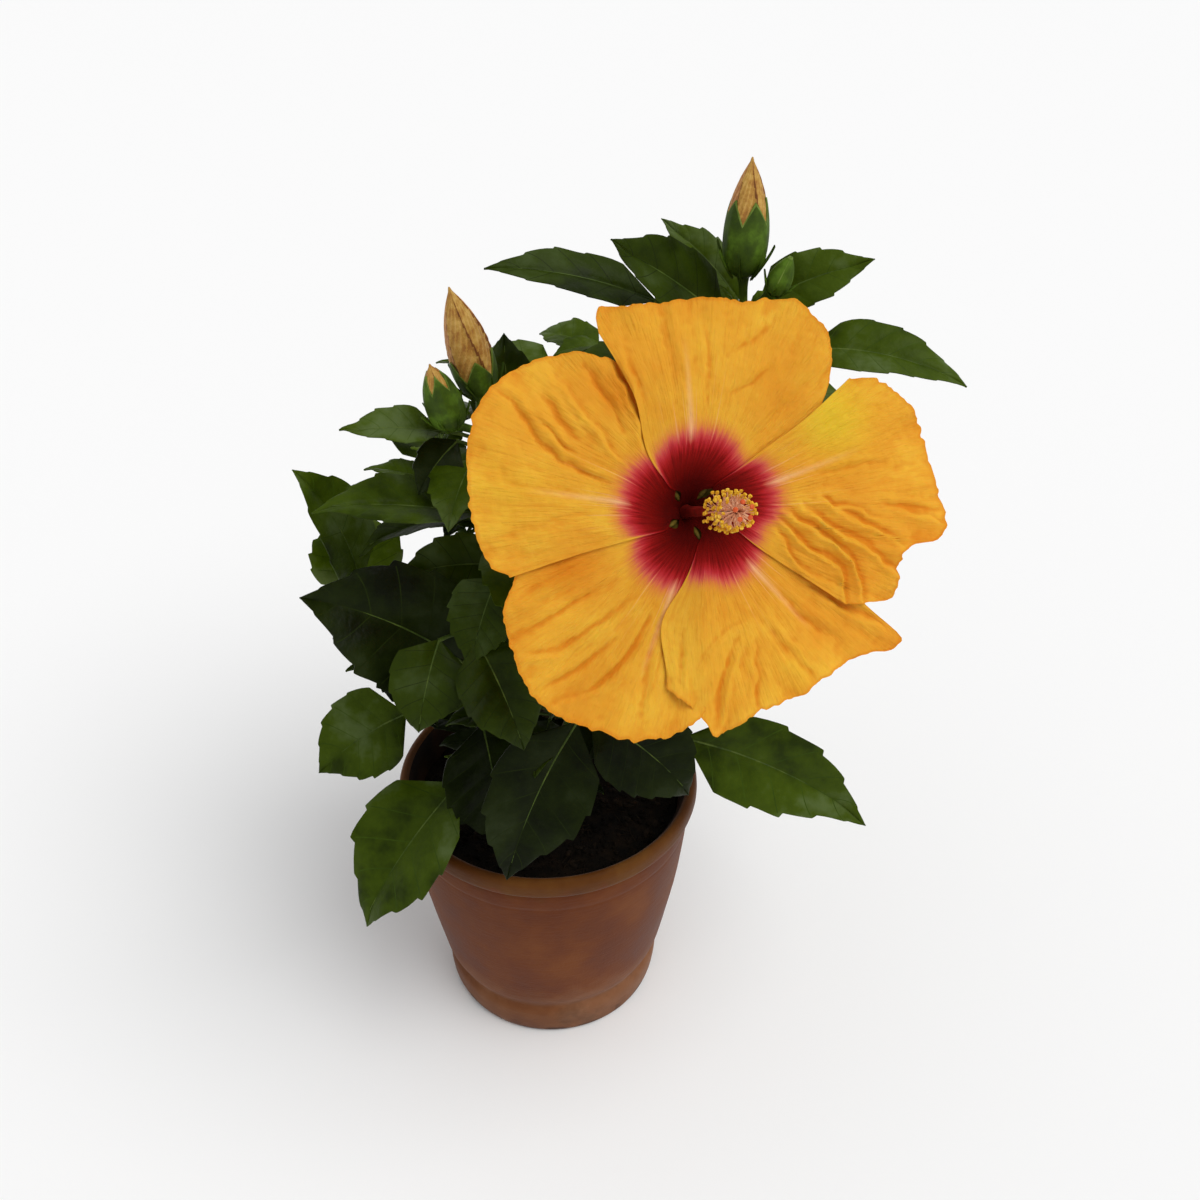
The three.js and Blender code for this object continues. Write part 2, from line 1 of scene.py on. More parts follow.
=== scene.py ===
"""A hibiscus shrub in a terracotta pot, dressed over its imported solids.

Sizes are in millimetres, as in the plant's own plan, and turn to metres when a mesh is made.
"""

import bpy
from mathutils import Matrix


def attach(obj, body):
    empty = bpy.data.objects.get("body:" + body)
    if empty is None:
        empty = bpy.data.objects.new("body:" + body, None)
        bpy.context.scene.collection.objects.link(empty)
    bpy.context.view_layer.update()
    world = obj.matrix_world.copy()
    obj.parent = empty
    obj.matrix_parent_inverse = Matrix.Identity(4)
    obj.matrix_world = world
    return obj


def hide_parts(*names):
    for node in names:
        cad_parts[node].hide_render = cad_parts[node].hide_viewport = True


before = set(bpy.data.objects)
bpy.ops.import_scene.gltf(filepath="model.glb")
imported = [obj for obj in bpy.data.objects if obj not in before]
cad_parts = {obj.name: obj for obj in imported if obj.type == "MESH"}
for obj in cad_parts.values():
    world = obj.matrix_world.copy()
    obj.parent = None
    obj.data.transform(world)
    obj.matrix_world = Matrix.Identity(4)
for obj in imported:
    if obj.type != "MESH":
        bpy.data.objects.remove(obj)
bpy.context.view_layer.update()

import math
from functools import partial

import bpy
import numpy as np
from mathutils import Euler, Vector, noise

MM = 0.001
UP = np.array([0, 0, 1])
GOLDEN_TURN = 137.5

# The view: the camera stands before the bloom and looks down on it.
CAMERA = {"place": (21, -398, 488), "pitch": 36.3, "lens": 40.5}

# The pot and its filling
POT = {
    "rim_radius": 60, "height": 110, "wall": 4.2, "floor": 6, "band_height": 8.5, "band_step": 2.3,
    "foot_height": 17, "foot_radius": 44, "waist_radius": 45.6,
    "drain_radius": 4, "drain_ring": 27, "drains": 5,
}
MIX = {"top": 97, "lump": 1.5, "crumbs": 1050, "chips": 100, "fibres": 110}

# Trunk and boughs: each path in places, and the radius at its two ends.
TRUNK = {
    "path": [(1.6, 7, 97.3), (1.6, 7, 108), (2.6, 8, 120), (4, 9, 133)],
    "radii": (4.8, 3.8),
    "flare": 2.6,
    "flare_height": 4,
}
BOUGHS = {
    "right": ([(3.8, 8.8, 131), (28, 13, 176), (48, 16, 226), (60, 16, 268)], (3.1, 2.2)),
    "left": ([(3.8, 8.8, 131), (-2, 13, 175), (-14, 9, 218), (-19, 5, 245)], (2.9, 2.0)),
    "left_mid": ([(3, 8.2, 124), (-6, 6, 156), (-9, 4, 188)], (2.7, 2.0)),
    "front": ([(2.6, 8, 120), (7, -4, 134), (9, -14, 148)], (2.6, 1.9)),
    "front_left": ([(2.4, 7.8, 118), (-6, -6, 140), (-11, -13, 164)], (2.6, 1.9)),
    "left_low": ([(2.6, 8, 120), (-22, 8, 134), (-46, 6, 148)], (2.5, 1.8)),
    "low_left": ([(2.2, 7.6, 114), (-6, 1, 118), (-13, -4, 121)], (2.3, 1.8)),
    "right_low": ([(3, 8.2, 124), (24, 12, 140), (42, 6, 152)], (2.7, 1.9)),
    "back_left": ([(3, 8.2, 124), (-14, 26, 156), (-30, 42, 190)], (2.8, 1.9)),
    "back": ([(3.4, 8.6, 128), (12, 28, 168), (20, 48, 212)], (2.9, 1.9)),
    "back_right": ([(3.4, 8.6, 128), (30, 26, 158), (56, 42, 192)], (2.8, 1.9)),
    "back_low": ([(2.4, 7.6, 116), (3, 22, 130), (6, 38, 148)], (2.4, 1.8)),
}

# Each mass of foliage: its bough, the further places its twig passes through, the leaves placed one
# by one, and the rule for the rest. A placed leaf is (tone from 0 shaded to 3 fresh, share of the twig,
# (petiole, heading, rise), (blade, heading, pitch), roll, width as a share of its length, droop if not
# the usual one). The rule is (seed, leaves, first and last share of the twig, first heading, shortest
# and longest blade, the leaves left out).
MASSES = {
    "top_right": {
        "on": "right", "path": [(64, 13, 288), (67, 10, 306)],
        "leaves": [
            (1, 0.45, (35, -168, 42), (56, -172, 28), -25, 0.35, 26),
            (1, 0.55, (13.5, -128, 68), (51.5, -161, 46), -50, 0.5, 16),
            (2, 0.5, (18, 70, 64), (36.5, 152, 52), -40, 0.42),
            (2, 0.6, (17, 0, 60), (38.5, 0, 35), 45, 0.5, 26),
            (2, 0.35, (28, -4, 17), (54.5, -19, 14), 20, 0.41, 38),
        ],
        "rule": (3, 5, 0, 0.5, -180, (34, 48), (4,)),
    },
    "top_left": {
        "on": "left", "path": [(-20, 1, 262), (-19, -2, 272)],
        "leaves": [
            (2, 0.6, (19, -134, 31), (33.5, -157, 26), -15, 0.5),
            (1, 0.75, (12, 30, -20), (34.5, 95, 84), 0, 0.72),
            (1, 0.5, (20, 60, 4), (33, 20, 34), 30, 0.48, 14),
            (0, 0.4, (15, -124, 40), (22, -140, -25), -60, 0.75),
        ],
        "rule": (5, 4, 0.1, 0.8, -110, (30, 44), (2,)),
    },
    "left": {
        "on": "left_mid", "path": [(-10, 2, 214), (-12, -3, 240)],
        "leaves": [
            (2, 0.9, (16, -128, 24), (55.5, -164, 23), -8, 0.46, 20),
            (1, 0.75, (15, -156, 40), (44, -158, 8), 5, 0.42),
            (1, 0.55, (15, -105, 11), (37, -160, 20), -60, 0.6),
        ],
        "rule": (7, 5, 0.05, 0.8, -130, (38, 52), (0,)),
    },
    "left_low": {
        "on": "left_low", "path": [(-56, 4, 156), (-62, 2, 168)],
        "leaves": [
            (2, 0.9, (38.3, -160, 82), (53.5, -163, 86), -40, 0.56),
            (2, 0.2, (23.8, -91.5, 12), (40, -161, -14.5), -40, 0.84),
            (3, 0.9, (34, -155, 82), (32, 112, 58), 0, 1.08, 12),
        ],
        "rule": (8, 4, 0.3, 0.9, -120, (34, 46), (0, 2)),
    },
    "front_left": {
        "on": "front_left", "path": [(-14, -22, 192), (-15, -27, 212)],
        "leaves": [
            (0, 0.7, (16, -148, -22), (64, -168, 50), -60, 0.68),
            (1, 0.98, (20, -74, 69), (31, -119, -38), -5, 0.8),
            (1, 0.8, (26, -137, 16), (33, -111, -38), -25, 0.8),
            (1, 0.9, (21, -104, 14), (41, -52, -36), 25, 0.68),
        ],
        "rule": (9, 3, 0.1, 0.6, -160, (34, 44), ()),
    },
    "low_left": {
        "on": "low_left", "path": [(-22, -9, 125), (-30, -14, 127)],
        "leaves": [
            (2, 0.8, (18, -109, 14), (66.5, -139, -27), -5, 0.66),
            (0, 0.2, (31, -117, 64.5), (48, -69.5, -47), -10, 0.9),
        ],
        "rule": (11, 3, 0.3, 0.8, -20, (34, 44), (2,)),
    },
    "front": {
        "on": "front", "path": [(10, -20, 156), (10, -24, 164)],
        "leaves": [
            (0, 0.9, (22, -82, 29), (65, -135.7, -41.8), -50, 0.58),
            (0, 0.8, (22, -63, 34), (51, -9, -28), 50, 0.68),
        ],
        "rule": (13, 1, 0.3, 0.8, -160, (30, 40), ()),
    },
    "low_right": {
        "on": "right_low", "path": [(52, 0, 158), (58, -8, 163)],
        "leaves": [(2, 0.8, (23, -98, -28), (75, -12, -7.5), 70, 0.47)],
        "rule": (15, 5, 0.1, 0.95, -120, (38, 52), (2, 3)),
    },
    "back_left": {
        "on": "back_left", "path": [(-38, 50, 206), (-43, 55, 224)],
        "rule": (17, 9, 0.05, 1, 60, (38, 56), (1, 4, 6, 7)),
    },
    "back": {
        "on": "back", "path": [(23, 56, 232), (24, 60, 252)],
        "rule": (19, 9, 0.05, 1, 50, (40, 58), (1, 4)),
    },
    "back_right": {
        "on": "back_right", "path": [(66, 46, 208), (72, 48, 226)],
        "rule": (21, 9, 0.05, 1, -80, (40, 56), (5, 7)),
    },
    "back_low": {
        "on": "back_low", "path": [(8, 48, 160), (9, 54, 172)],
        "rule": (23, 6, 0.1, 1, 80, (40, 56), (1, 4)),
    },
}
LEAF = {"thickness": 0.35, "widest": 0.36, "fold": 12, "petiole_radius": 0.8, "arch": 0.1, "droop": 30}
LEAF["tooth"] = 0.085  # of the half width there
LEAF["tip"] = 0.22  # how much the last stretch draws in to a point

# The bloom
BLOOM = {
    "throat": (48, -41, 260), "heading": -76, "rise": 32,
    "depth": 17, "spread": 8.5, "claw_radius": 2.1, "reflex": 4.5, "reach": 75,
    "lift": 1.1, "thickness": 0.35, "ruffle": 1.6,
    "twist": 26,  # how far the claws turn about the axis, in degrees
    "midrib": 0.45,  # as a share of the way from a petal's middle to its edge
}
# Each petal: the angle of its middle, half its spread, and which of its two side edges lie on top.
# The eye is given by its reach and by where along the spread it reaches furthest.
# A petal's edge is given by places (share across, reach). A bulge widens one side near the throat. A fold
# is (height, half width, (angle, reach), ...), and a tint is (angle, reach, size, strength), towards
# lemon above nought and towards burnt orange below it; the burnt orange is partly the petal's own colour
# and partly painted shade under a neighbour's edge and along folds.
PETALS = {
    "petal_top": {
        "at": 68, "half": 45, "over": (-1, 1), "eye": (23.8, 0.25), "bulge": (0, 0.3, 20),
        "edge": (
            (-1, 46), (-0.79, 50.7), (-0.7, 58), (-0.62, 63), (-0.48, 68.7), (-0.25, 72.3), (-0.12, 69),
            (0.03, 65), (0.34, 64), (0.6, 63), (0.8, 65), (0.92, 68.5), (0.97, 66), (1, 60),
        ),
        "folds": (
            (0.9, 1.8, (110, 58), (111, 48), (115, 36)),
            (-0.8, 1.6, (67.5, 37), (60.5, 42), (55, 50)),
            (-0.7, 1.8, (72, 48), (64, 55), (60, 62)),
            (0.9, 2.2, (44, 55), (47, 38), (52, 25)),
            (0.8, 2.4, (92, 26), (90, 42), (92, 62)),
            (-0.6, 2.0, (80, 30), (79, 45), (82, 62)),
        ),
        "tints_and_shade": ((46, 44, 13, -0.5), (80, 64, 10, -0.25), (100, 48, 14, -0.1), (108, 30, 8, -0.3)),
    },
    "petal_left": {
        "at": 145, "half": 46, "over": (-1, 1), "eye": (24.3, 0.3), "bulge": (0, 0.05, 20),
        "edge": (
            (-1, 44), (-0.78, 46), (-0.7, 52), (-0.53, 59.5), (-0.34, 66.2), (-0.14, 71), (0.03, 73.7),
            (0.24, 73.2), (0.4, 71), (0.53, 69.7), (0.7, 68), (0.84, 67), (0.93, 65), (1, 60.7),
        ),
        "folds": (
            (-1.6, 1.7, (141, 73), (143.5, 64), (148.5, 53), (152, 47), (156, 30)),
            (-1.3, 1.5, (137.5, 58), (139.5, 51), (142, 43)),
            (1.0, 1.6, (131.5, 60), (133, 50), (138, 37), (144, 26)),
            (-1.2, 1.4, (143, 58), (145.5, 51), (149, 43)),
            (1.9, 2.0, (114, 54), (116, 45), (119, 34), (128, 26)),
            (-1.4, 1.8, (121, 56), (123, 45), (127, 34)),
            (0.8, 2.2, (182, 62), (180, 48), (178, 34)),
            (0.6, 2.4, (166, 64), (168, 50), (170, 34)),
        ),
        "tints_and_shade": ((118, 42, 8, -0.7), (147, 58, 9, -0.3), (165, 58, 14, 0.2), (130, 60, 8, -0.2)),
    },
    "petal_low_left": {
        "at": 224, "half": 41, "over": (-1, -1), "eye": (24.7, 0.1), "bulge": (0, 0, 20),
        "edge": (
            (-1, 52), (-0.78, 59.7), (-0.62, 66.7), (-0.33, 71.2), (-0.15, 74.2), (0, 75.7), (0.28, 73.7),
            (0.45, 72.4), (0.56, 72.5), (0.77, 69.2), (0.94, 63.7), (1, 61),
        ),
        "folds": (
            (1.2, 1.9, (200, 64), (199, 50), (200, 34)),
            (-1.0, 1.7, (206, 68), (207, 52), (210, 34)),
            (1.2, 1.7, (211.5, 70), (217.5, 60), (221.5, 47), (227.5, 32)),
            (-1.1, 1.5, (220, 72), (224, 60), (228, 46)),
            (1.0, 1.7, (226, 73), (233, 62), (238.5, 45), (240, 32)),
            (-1.1, 1.6, (230.5, 66), (235, 50), (236, 36)),
            (0.8, 1.8, (248, 64), (246, 50), (244, 36)),
        ),
        "tints_and_shade": ((192, 44, 10, -0.65), (234, 62, 12, -0.2), (212, 58, 14, -0.1)),
    },
    "petal_low_right": {
        "at": 290, "half": 38, "over": (1, -1), "eye": (23.4, 0.3), "bulge": (0.25, 0, 34),
        "edge": (
            (-1, 54.5), (-0.79, 59), (-0.66, 64.5), (-0.6, 70), (-0.42, 67.5), (-0.25, 64.5), (-0.04, 65),
            (0.24, 65.6), (0.45, 67), (0.63, 71.6), (0.74, 77), (0.8, 79.4), (0.845, 78.6),
            (0.875, 71), (0.9, 61), (1, 56),
        ),
        "folds": (
            (1.5, 1.6, (270, 66), (272, 55), (275, 49), (281, 42)),
            (0.6, 1.5, (262, 52), (268, 43), (279, 38), (290, 38)),
            (-0.7, 1.6, (280, 63), (284, 52), (288, 42)),
            (0.9, 1.8, (300, 64), (298, 50), (296, 36)),
            (-1.2, 2.0, (309, 36), (309, 50), (312, 62)),
            (1.3, 2.0, (318, 44), (319, 58), (321, 74)),
            (0.7, 1.3, (259, 60), (257, 48), (257, 36)),
        ),
        "tints_and_shade": ((321, 74, 8, -0.15), (311, 57, 9, -0.35), (268, 45, 10, -0.3), (296, 58, 10, 0.15)),
    },
    "petal_right": {
        "at": -3, "half": 36, "over": (1, 1), "eye": (24.9, 0.35), "bulge": (0, 0.1, 22),
        "edge": (
            (-1, 54), (-0.9, 61), (-0.76, 69.4), (-0.62, 69.2), (-0.53, 66.5), (-0.42, 67.3), (-0.35, 71),
            (-0.31, 79.4), (-0.2, 82.6), (0, 79.4), (0.15, 78.4), (0.35, 77.8), (0.55, 77.3), (0.74, 73),
            (0.9, 69.5), (1, 63),
        ),
        "folds": (
            (2.3, 1.6, (352.5, 26), (345, 32), (340, 40), (336, 49), (331, 54), (324, 59)),
            (2.0, 1.4, (346.5, 24), (334.5, 34), (332, 42), (331, 47), (325.5, 51), (320.5, 54)),
            (2.0, 1.6, (353.5, 32), (345, 42), (340.5, 53), (336, 64), (334, 69)),
            (1.7, 1.5, (358, 38), (349.5, 48), (345.5, 59), (342.5, 66)),
            (1.2, 1.3, (338.5, 24), (325, 33), (323, 42), (323.5, 51)),
            (-0.9, 1.5, (9.5, 40), (8, 54), (7, 62)),
            (1.1, 1.4, (352, 64), (350.5, 75), (349.5, 81)),
            (-1.0, 1.3, (355, 60), (354, 70), (353, 79)),
            (1.0, 1.4, (357, 34), (354, 46), (350, 58)),
            (0.8, 2.0, (22, 34), (24, 50), (26, 66)),
        ),
        "tints_and_shade": ((27, 51, 12, 0.85), (335, 48, 13, -0.35), (19, 28, 8, -0.3), (345, 76, 7, -0.4)),
    },
}
COLUMN = {"foot": -2.1, "length": 53, "radius": 1.7, "anthers": 146, "anther_from": 36.5, "anther_reach": 5.9}
CALYX = {
    "behind": 2.5, "lobes": 5, "reach": 17, "spread": 30, "cup_length": 9, "cup_radius": 6.5,
    "stalk_radius": 1.5, "stalk": [(44, 6, 224), (46.3, 13.6, 222.3)],
}
# Each bud: the foot of its stalk, the base and the tip of the bud, its radius, and the shares of its
# length that the calyx's notches and lobes reach.
BUDS = {
    "bud_right": ((67.3, 9.6, 306.8), (66.2, 8, 317), (66.9, 8, 355), 7.0, (0.5, 0.68)),
    "bud_left": ((-18.8, -2.4, 272.9), (-17.6, -1, 280), (-25.3, -8, 320.4), 7.4, (0.24, 0.42)),
    "bud_left_low": ((-20.6, -3.2, 268), (-26.6, -14, 275), (-31.8, -18, 299.4), 6.1, (0.66, 0.88)),
    "bud_small": ((68.2, 8.6, 303), (75.5, 2, 314), (80, 0, 327), 3.9, (0.985, 0.985)),
}
BUD = {"lobes": 5, "furl": 0.93, "stalk_radius": 1.35, "bract": 10}


# Numbers and curves
def mix(a, b, share):
    return a + (b - a) * share


def smooth(x, start, end):
    share = np.clip((np.asarray(x, float) - start) / (end - start), 0, 1)
    return share * share * (3 - 2 * share)


def bump(x, centre, width):
    """A soft bump of height 1."""
    return np.exp(-(((x - centre) / width) ** 2))


def shares(count):
    return np.linspace(0, 1, count)


def around(sides):
    """Evenly spread turns about an axis."""
    return np.arange(sides) / sides * 2 * np.pi


def stacked(*values):
    """Places from their values along each axis."""
    return np.stack(np.broadcast_arrays(*values), axis=-1)


def about_axis(radius, turn, height):
    """Places by distance from the upright axis, turn about it and height."""
    return stacked(radius * np.cos(turn), radius * np.sin(turn), height)


def seeded(seed):
    """The same run of numbers from 0 to 1 for the same seed."""
    state = seed

    def draw():
        nonlocal state
        state = (state * 1664525 + 1013904223) % 2**32
        return state / 2**32

    return draw


def unit(vector):
    vector = np.asarray(vector, float)
    return vector / np.linalg.norm(vector, axis=-1, keepdims=True)


def square_to(way):
    """A direction at right angles to the given one."""
    return unit(np.cross(way, np.eye(3)[np.argmin(np.abs(way))]))


def direction(heading, rise):
    heading, rise = np.radians(heading), np.radians(rise)
    return about_axis(np.cos(rise), heading, np.sin(rise))


def cloud(points, size, seed=0):
    """Soft noise from -1 to 1 at each place, with features of that size."""
    places = np.asarray(points, float).reshape(-1, 3) / size + 37.7 * seed
    return np.array([noise.noise(Vector(place)) for place in places]).reshape(np.shape(points)[:-1])


def distances(line):
    """How far along a line each of its places lies."""
    return np.concatenate([[0], np.cumsum(np.linalg.norm(np.diff(line, axis=0), axis=1))])


def spline(points):
    """The centripetal curve through the points, as a function of shares of its length."""
    knots = np.array(points, float)
    ends = np.vstack([2 * knots[0] - knots[1], knots, 2 * knots[-1] - knots[-2]])
    w = shares(80)[:, None]
    stretches = []
    for a, b, c, d in zip(ends, ends[1:], ends[2:], ends[3:]):
        ab, bc, cd = [np.sum((q - p) ** 2) ** 0.25 for p, q in ((a, b), (b, c), (c, d))]
        leave = ((b - a) / ab - (c - a) / (ab + bc) + (c - b) / bc) * bc
        arrive = ((c - b) / bc - (d - b) / (bc + cd) + (d - c) / cd) * bc
        stretches.append(
            b + leave * w + (3 * (c - b) - 2 * leave - arrive) * w**2 + (2 * (b - c) + leave + arrive) * w**3
        )
    line = np.vstack(stretches)
    run = distances(line)

    def at(share):
        far = np.asarray(share, float) * run[-1]
        return np.stack([np.interp(far, run, axis) for axis in line.T], axis=-1)

    at.length = run[-1]
    return at


def bezier(a, b, c, share):
    w = np.asarray(share, float)[:, None]
    return (1 - w) ** 2 * a + 2 * w * (1 - w) * b + w**2 * c


# Meshes
def facing(verts, *parts):
    """1 where the faces of a closed form look out, and -1 where they look in."""
    volume = 0.0
    for faces in parts:
        first, *others = np.moveaxis((verts - verts[0])[faces], 1, 0)
        volume += sum(np.sum(first * np.cross(b, c)) for b, c in zip(others, others[1:]))
    return 1 if volume > 0 else -1


def grid(rows, columns, closed=False):
    """Four-sided faces over rows of places; a closed grid also joins the last column to the first."""
    index = np.arange(rows * columns).reshape(rows, columns)
    if closed:
        index = np.hstack([index, index[:, :1]])
    corners = index[:-1, :-1], index[:-1, 1:], index[1:, 1:], index[1:, :-1]
    return np.stack(corners, axis=-1).reshape(-1, 4)


def place_in_scene(name, data):
    thing = bpy.data.objects.new(name, data)
    bpy.context.scene.collection.objects.link(thing)
    return thing


class Piece:
    """Gathers closed forms, each face with the number of its finish, into one mesh."""

    def __init__(self, *layers):
        self.layers = layers
        self.verts, self.faces, self.finish, self.spots = [], [], [], []
        self.count = 0

    def add(self, verts, *parts, spots=None):
        """Adds places, and parts between them, each as its faces and their finish."""
        for faces, finish in parts:
            self.faces.append(faces + self.count)
            self.finish.append(np.broadcast_to(finish, len(faces)))
        self.verts.append(verts)
        if spots is not None:
            self.spots.append(spots)
        self.count += len(verts)

    def make(self, name, materials, slot, nodes, crease=75):
        mesh = bpy.data.meshes.new(name)
        corners = np.concatenate([faces.ravel() for faces in self.faces])
        sizes = np.concatenate([np.full(len(faces), faces.shape[1]) for faces in self.faces])
        mesh.vertices.add(self.count)
        mesh.vertices.foreach_set("co", (np.vstack(self.verts) * MM).ravel())
        mesh.loops.add(len(corners))
        mesh.loops.foreach_set("vertex_index", corners.astype(np.int32))
        mesh.polygons.add(len(sizes))
        mesh.polygons.foreach_set("loop_start", (np.cumsum(sizes) - sizes).astype(np.int32))
        mesh.polygons.foreach_set("material_index", np.concatenate(self.finish).astype(np.int32))
        mesh.update(calc_edges=True)
        for number, name_of_layer in enumerate(self.layers):
            layer = mesh.uv_layers.new(name=name_of_layer)
            spots = np.vstack(self.spots)[corners, 2 * number : 2 * number + 2]
            layer.data.foreach_set("uv", spots.ravel())
        mesh.validate()
        mesh.shade_smooth()
        mesh.set_sharp_from_angle(angle=math.radians(crease))
        for material in materials:
            mesh.materials.append(material)
        piece = place_in_scene(name, mesh)
        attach(piece, "root")
        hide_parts(*nodes)
        return piece


def add_rings(piece, rings, ends, finish=0, capped=(0, 0)):
    """A closed form over a stack of rings of places, with a middle place at each end. finish is that of
    its sides, and capped that of each end."""
    rows, sides = rings.shape[:2]
    verts = np.vstack([rings.reshape(-1, 3), *ends])
    quads = grid(rows, sides, closed=True)
    ring = np.arange(sides)
    beside = np.roll(ring, -1)
    last, first_middle = (rows - 1) * sides, rows * sides
    foot = np.stack([np.full(sides, first_middle), beside, ring], axis=-1)
    top = np.stack([np.full(sides, first_middle + 1), last + ring, last + beside], axis=-1)
    way = facing(verts, quads, foot, top)
    piece.add(verts, (quads[:, ::way], finish), (foot[:, ::way], capped[0]), (top[:, ::way], capped[1]))


def add_tube(piece, line, radii, sides, finish=0, relief=None):
    """A round limb along a line of places. relief(turn, along) is added to its radius."""
    line = np.asarray(line, float)
    turn = around(sides)
    ahead = unit(np.gradient(line, axis=0))
    side = square_to(ahead[0])
    rings = []
    for place, way, radius, along in zip(line, ahead, np.broadcast_to(radii, len(line)), distances(line)):
        side = unit(side - way * (side @ way))
        spokes = np.cos(turn)[:, None] * side + np.sin(turn)[:, None] * np.cross(way, side)
        if relief:
            radius = (radius + relief(turn, along))[:, None]
        rings.append(place + spokes * radius)
    add_rings(piece, np.array(rings), line[[0, -1]], finish, (finish, finish))


def add_sheet(piece, upper, lower, finish, spots=None):
    """A thin closed sheet from two grids of places. finish is (upper faces', lower faces', edge's)."""
    rows, columns = upper.shape[:2]
    count = rows * columns
    top = grid(rows, columns)
    index = np.arange(count).reshape(rows, columns)
    ring = np.concatenate([index[0, :-1], index[:-1, -1], index[-1, :0:-1], index[:0:-1, 0]])
    beyond = np.roll(ring, -1)
    edge = np.stack([ring, ring + count, beyond + count, beyond], axis=-1)
    verts = np.vstack([upper.reshape(-1, 3), lower.reshape(-1, 3)])
    parts = (top, top[:, ::-1] + count, edge)
    way = facing(verts, *parts)
    if spots is not None:
        spots = np.vstack([spots.reshape(count, -1)] * 2)
    piece.add(verts, *[(faces[:, ::way], shade) for faces, shade in zip(parts, finish)], spots=spots)


def add_lump(piece, place, size, stretch, draw, finish=0):
    """A small uneven grain: two rings of six corners and two tips, all pushed about."""
    tips = [(0, 0, -1), (0, 0, 1)]
    corners = np.vstack([*(about_axis(0.8, around(6), height) for height in (-0.55, 0.55)), tips])
    corners = corners * np.array([[0.75 + 0.5 * draw()] for _ in corners]) * np.array(stretch) * size
    spin, lean = 6.28 * draw(), 1.2 * (draw() - 0.5)
    corners = corners @ np.array(Euler((lean, 0, spin)).to_matrix()).T + place
    add_rings(piece, corners[:12].reshape(2, 6, 3), corners[12:], finish, (finish, finish))


# Finishes
def colour(code):
    """An sRGB hex colour as the linear light that a shader takes."""
    channels = [int(code[i : i + 2], 16) / 255 for i in (1, 3, 5)]
    return [c / 12.92 if c <= 0.04045 else ((c + 0.055) / 1.055) ** 2.4 for c in channels] + [1.0]


def per_metre(size):
    """A noise scale whose features have that size in millimetres."""
    return 1000 / size


def give(material, node, inputs):
    """Gives each input of a node its value, or a link where the value is another node's output."""
    for key, value in inputs.items() if isinstance(inputs, dict) else enumerate(inputs):
        if isinstance(value, bpy.types.NodeSocket):
            material.node_tree.links.new(value, node.inputs[key])
        else:
            node.inputs[key].default_value = value


def new_finish(name, base, **values):
    """A material and its shader, with every plain value on the shader's own sockets."""
    material = bpy.data.materials.new(name)
    material.use_nodes = True
    surface = material.node_tree.nodes["Principled BSDF"]
    give(material, surface, {"Base Color": colour(base)})
    give(material, surface, {socket.replace("_", " "): value for socket, value in values.items()})
    return material, surface


def add_node(material, kind, inputs=(), out=0, stops=(), **settings):
    """Adds a shader node with its settings, its ramp's stops and its inputs, in their order or by name,
    and returns one of its outputs."""
    node = material.node_tree.nodes.new("ShaderNode" + kind)
    for key, value in settings.items():
        setattr(node, key, value)
    for i, (place, shade) in enumerate(stops):
        stop = node.color_ramp.elements[i] if i < 2 else node.color_ramp.elements.new(place)
        stop.position = place
        stop.color = colour(shade)
    give(material, node, inputs)
    return node.outputs[out]


def moulded_terracotta():
    # Terracotta, pressed in a mould and fired with no glaze: warm brown clay under a thin greyish
    # bloom of lime, darker and damp at the band, with dark smudges where the foot stood wet.
    clay, surface = new_finish(
        "terracotta_moulded_unglazed", "#6d3d1f", Roughness=0.6, Specular_IOR_Level=0.08, Sheen_Weight=0.06
    )
    node = partial(add_node, clay)
    place = node("TexCoord", out="Object")
    height = node("SeparateXYZ", [place], "Z")
    patch = node("TexNoise", {"Vector": place, "Scale": per_metre(34), "Detail": 4.0, "Roughness": 0.6})
    body = node("ValToRGB", [patch], stops=[(0.36, "#693e23"), (0.5, "#764b2e"), (0.64, "#845c42")])
    high = node("Math", [height, 1000 / POT["height"]], operation="MULTIPLY")
    ragged = node("TexNoise", {"Vector": place, "Scale": per_metre(9), "Detail": 5.0})
    waver = node("Math", [ragged, 0.2, -0.1], operation="MULTIPLY_ADD")
    raised = node("Math", [high, waver], operation="ADD")
    zone = node("ValToRGB", [raised], stops=CLAY_ZONES)
    tinted = node("Mix", {0: 1.0, 6: body, 7: zone}, 2, data_type="RGBA", blend_type="MULTIPLY")
    smudge = node("TexNoise", {"Vector": place, "Scale": per_metre(16), "Detail": 6.0, "Roughness": 0.65})
    dark = node("ValToRGB", [smudge], stops=[(0.54, "#000000"), (0.68, "#9a9a9a")])
    low = node("ValToRGB", [high], stops=[(0.1, "#ffffff"), (0.42, "#000000")])
    where = node("Math", [dark, low], operation="MULTIPLY")
    stained = node("Mix", {0: where, 6: tinted, 7: colour("#20160e")}, 2, data_type="RGBA")
    squeezed = node("Mapping", {"Vector": place, "Scale": (0.12, 0.12, 1)})
    turning = node("TexNoise", {"Vector": squeezed, "Scale": per_metre(1.1), "Detail": 2.0})
    grit = node("TexNoise", {"Vector": place, "Scale": per_metre(0.9), "Detail": 3.0})
    lines = node("Bump", {"Height": turning, "Strength": 0.25, "Distance": 0.0004})
    relief = node("Bump", {"Height": grit, "Normal": lines, "Strength": 0.3, "Distance": 0.0003})
    gloss = node("MapRange", [patch, 0.3, 0.7, 0.48, 0.72])
    give(clay, surface, {"Base Color": stained, "Roughness": gloss, "Normal": relief})
    return clay


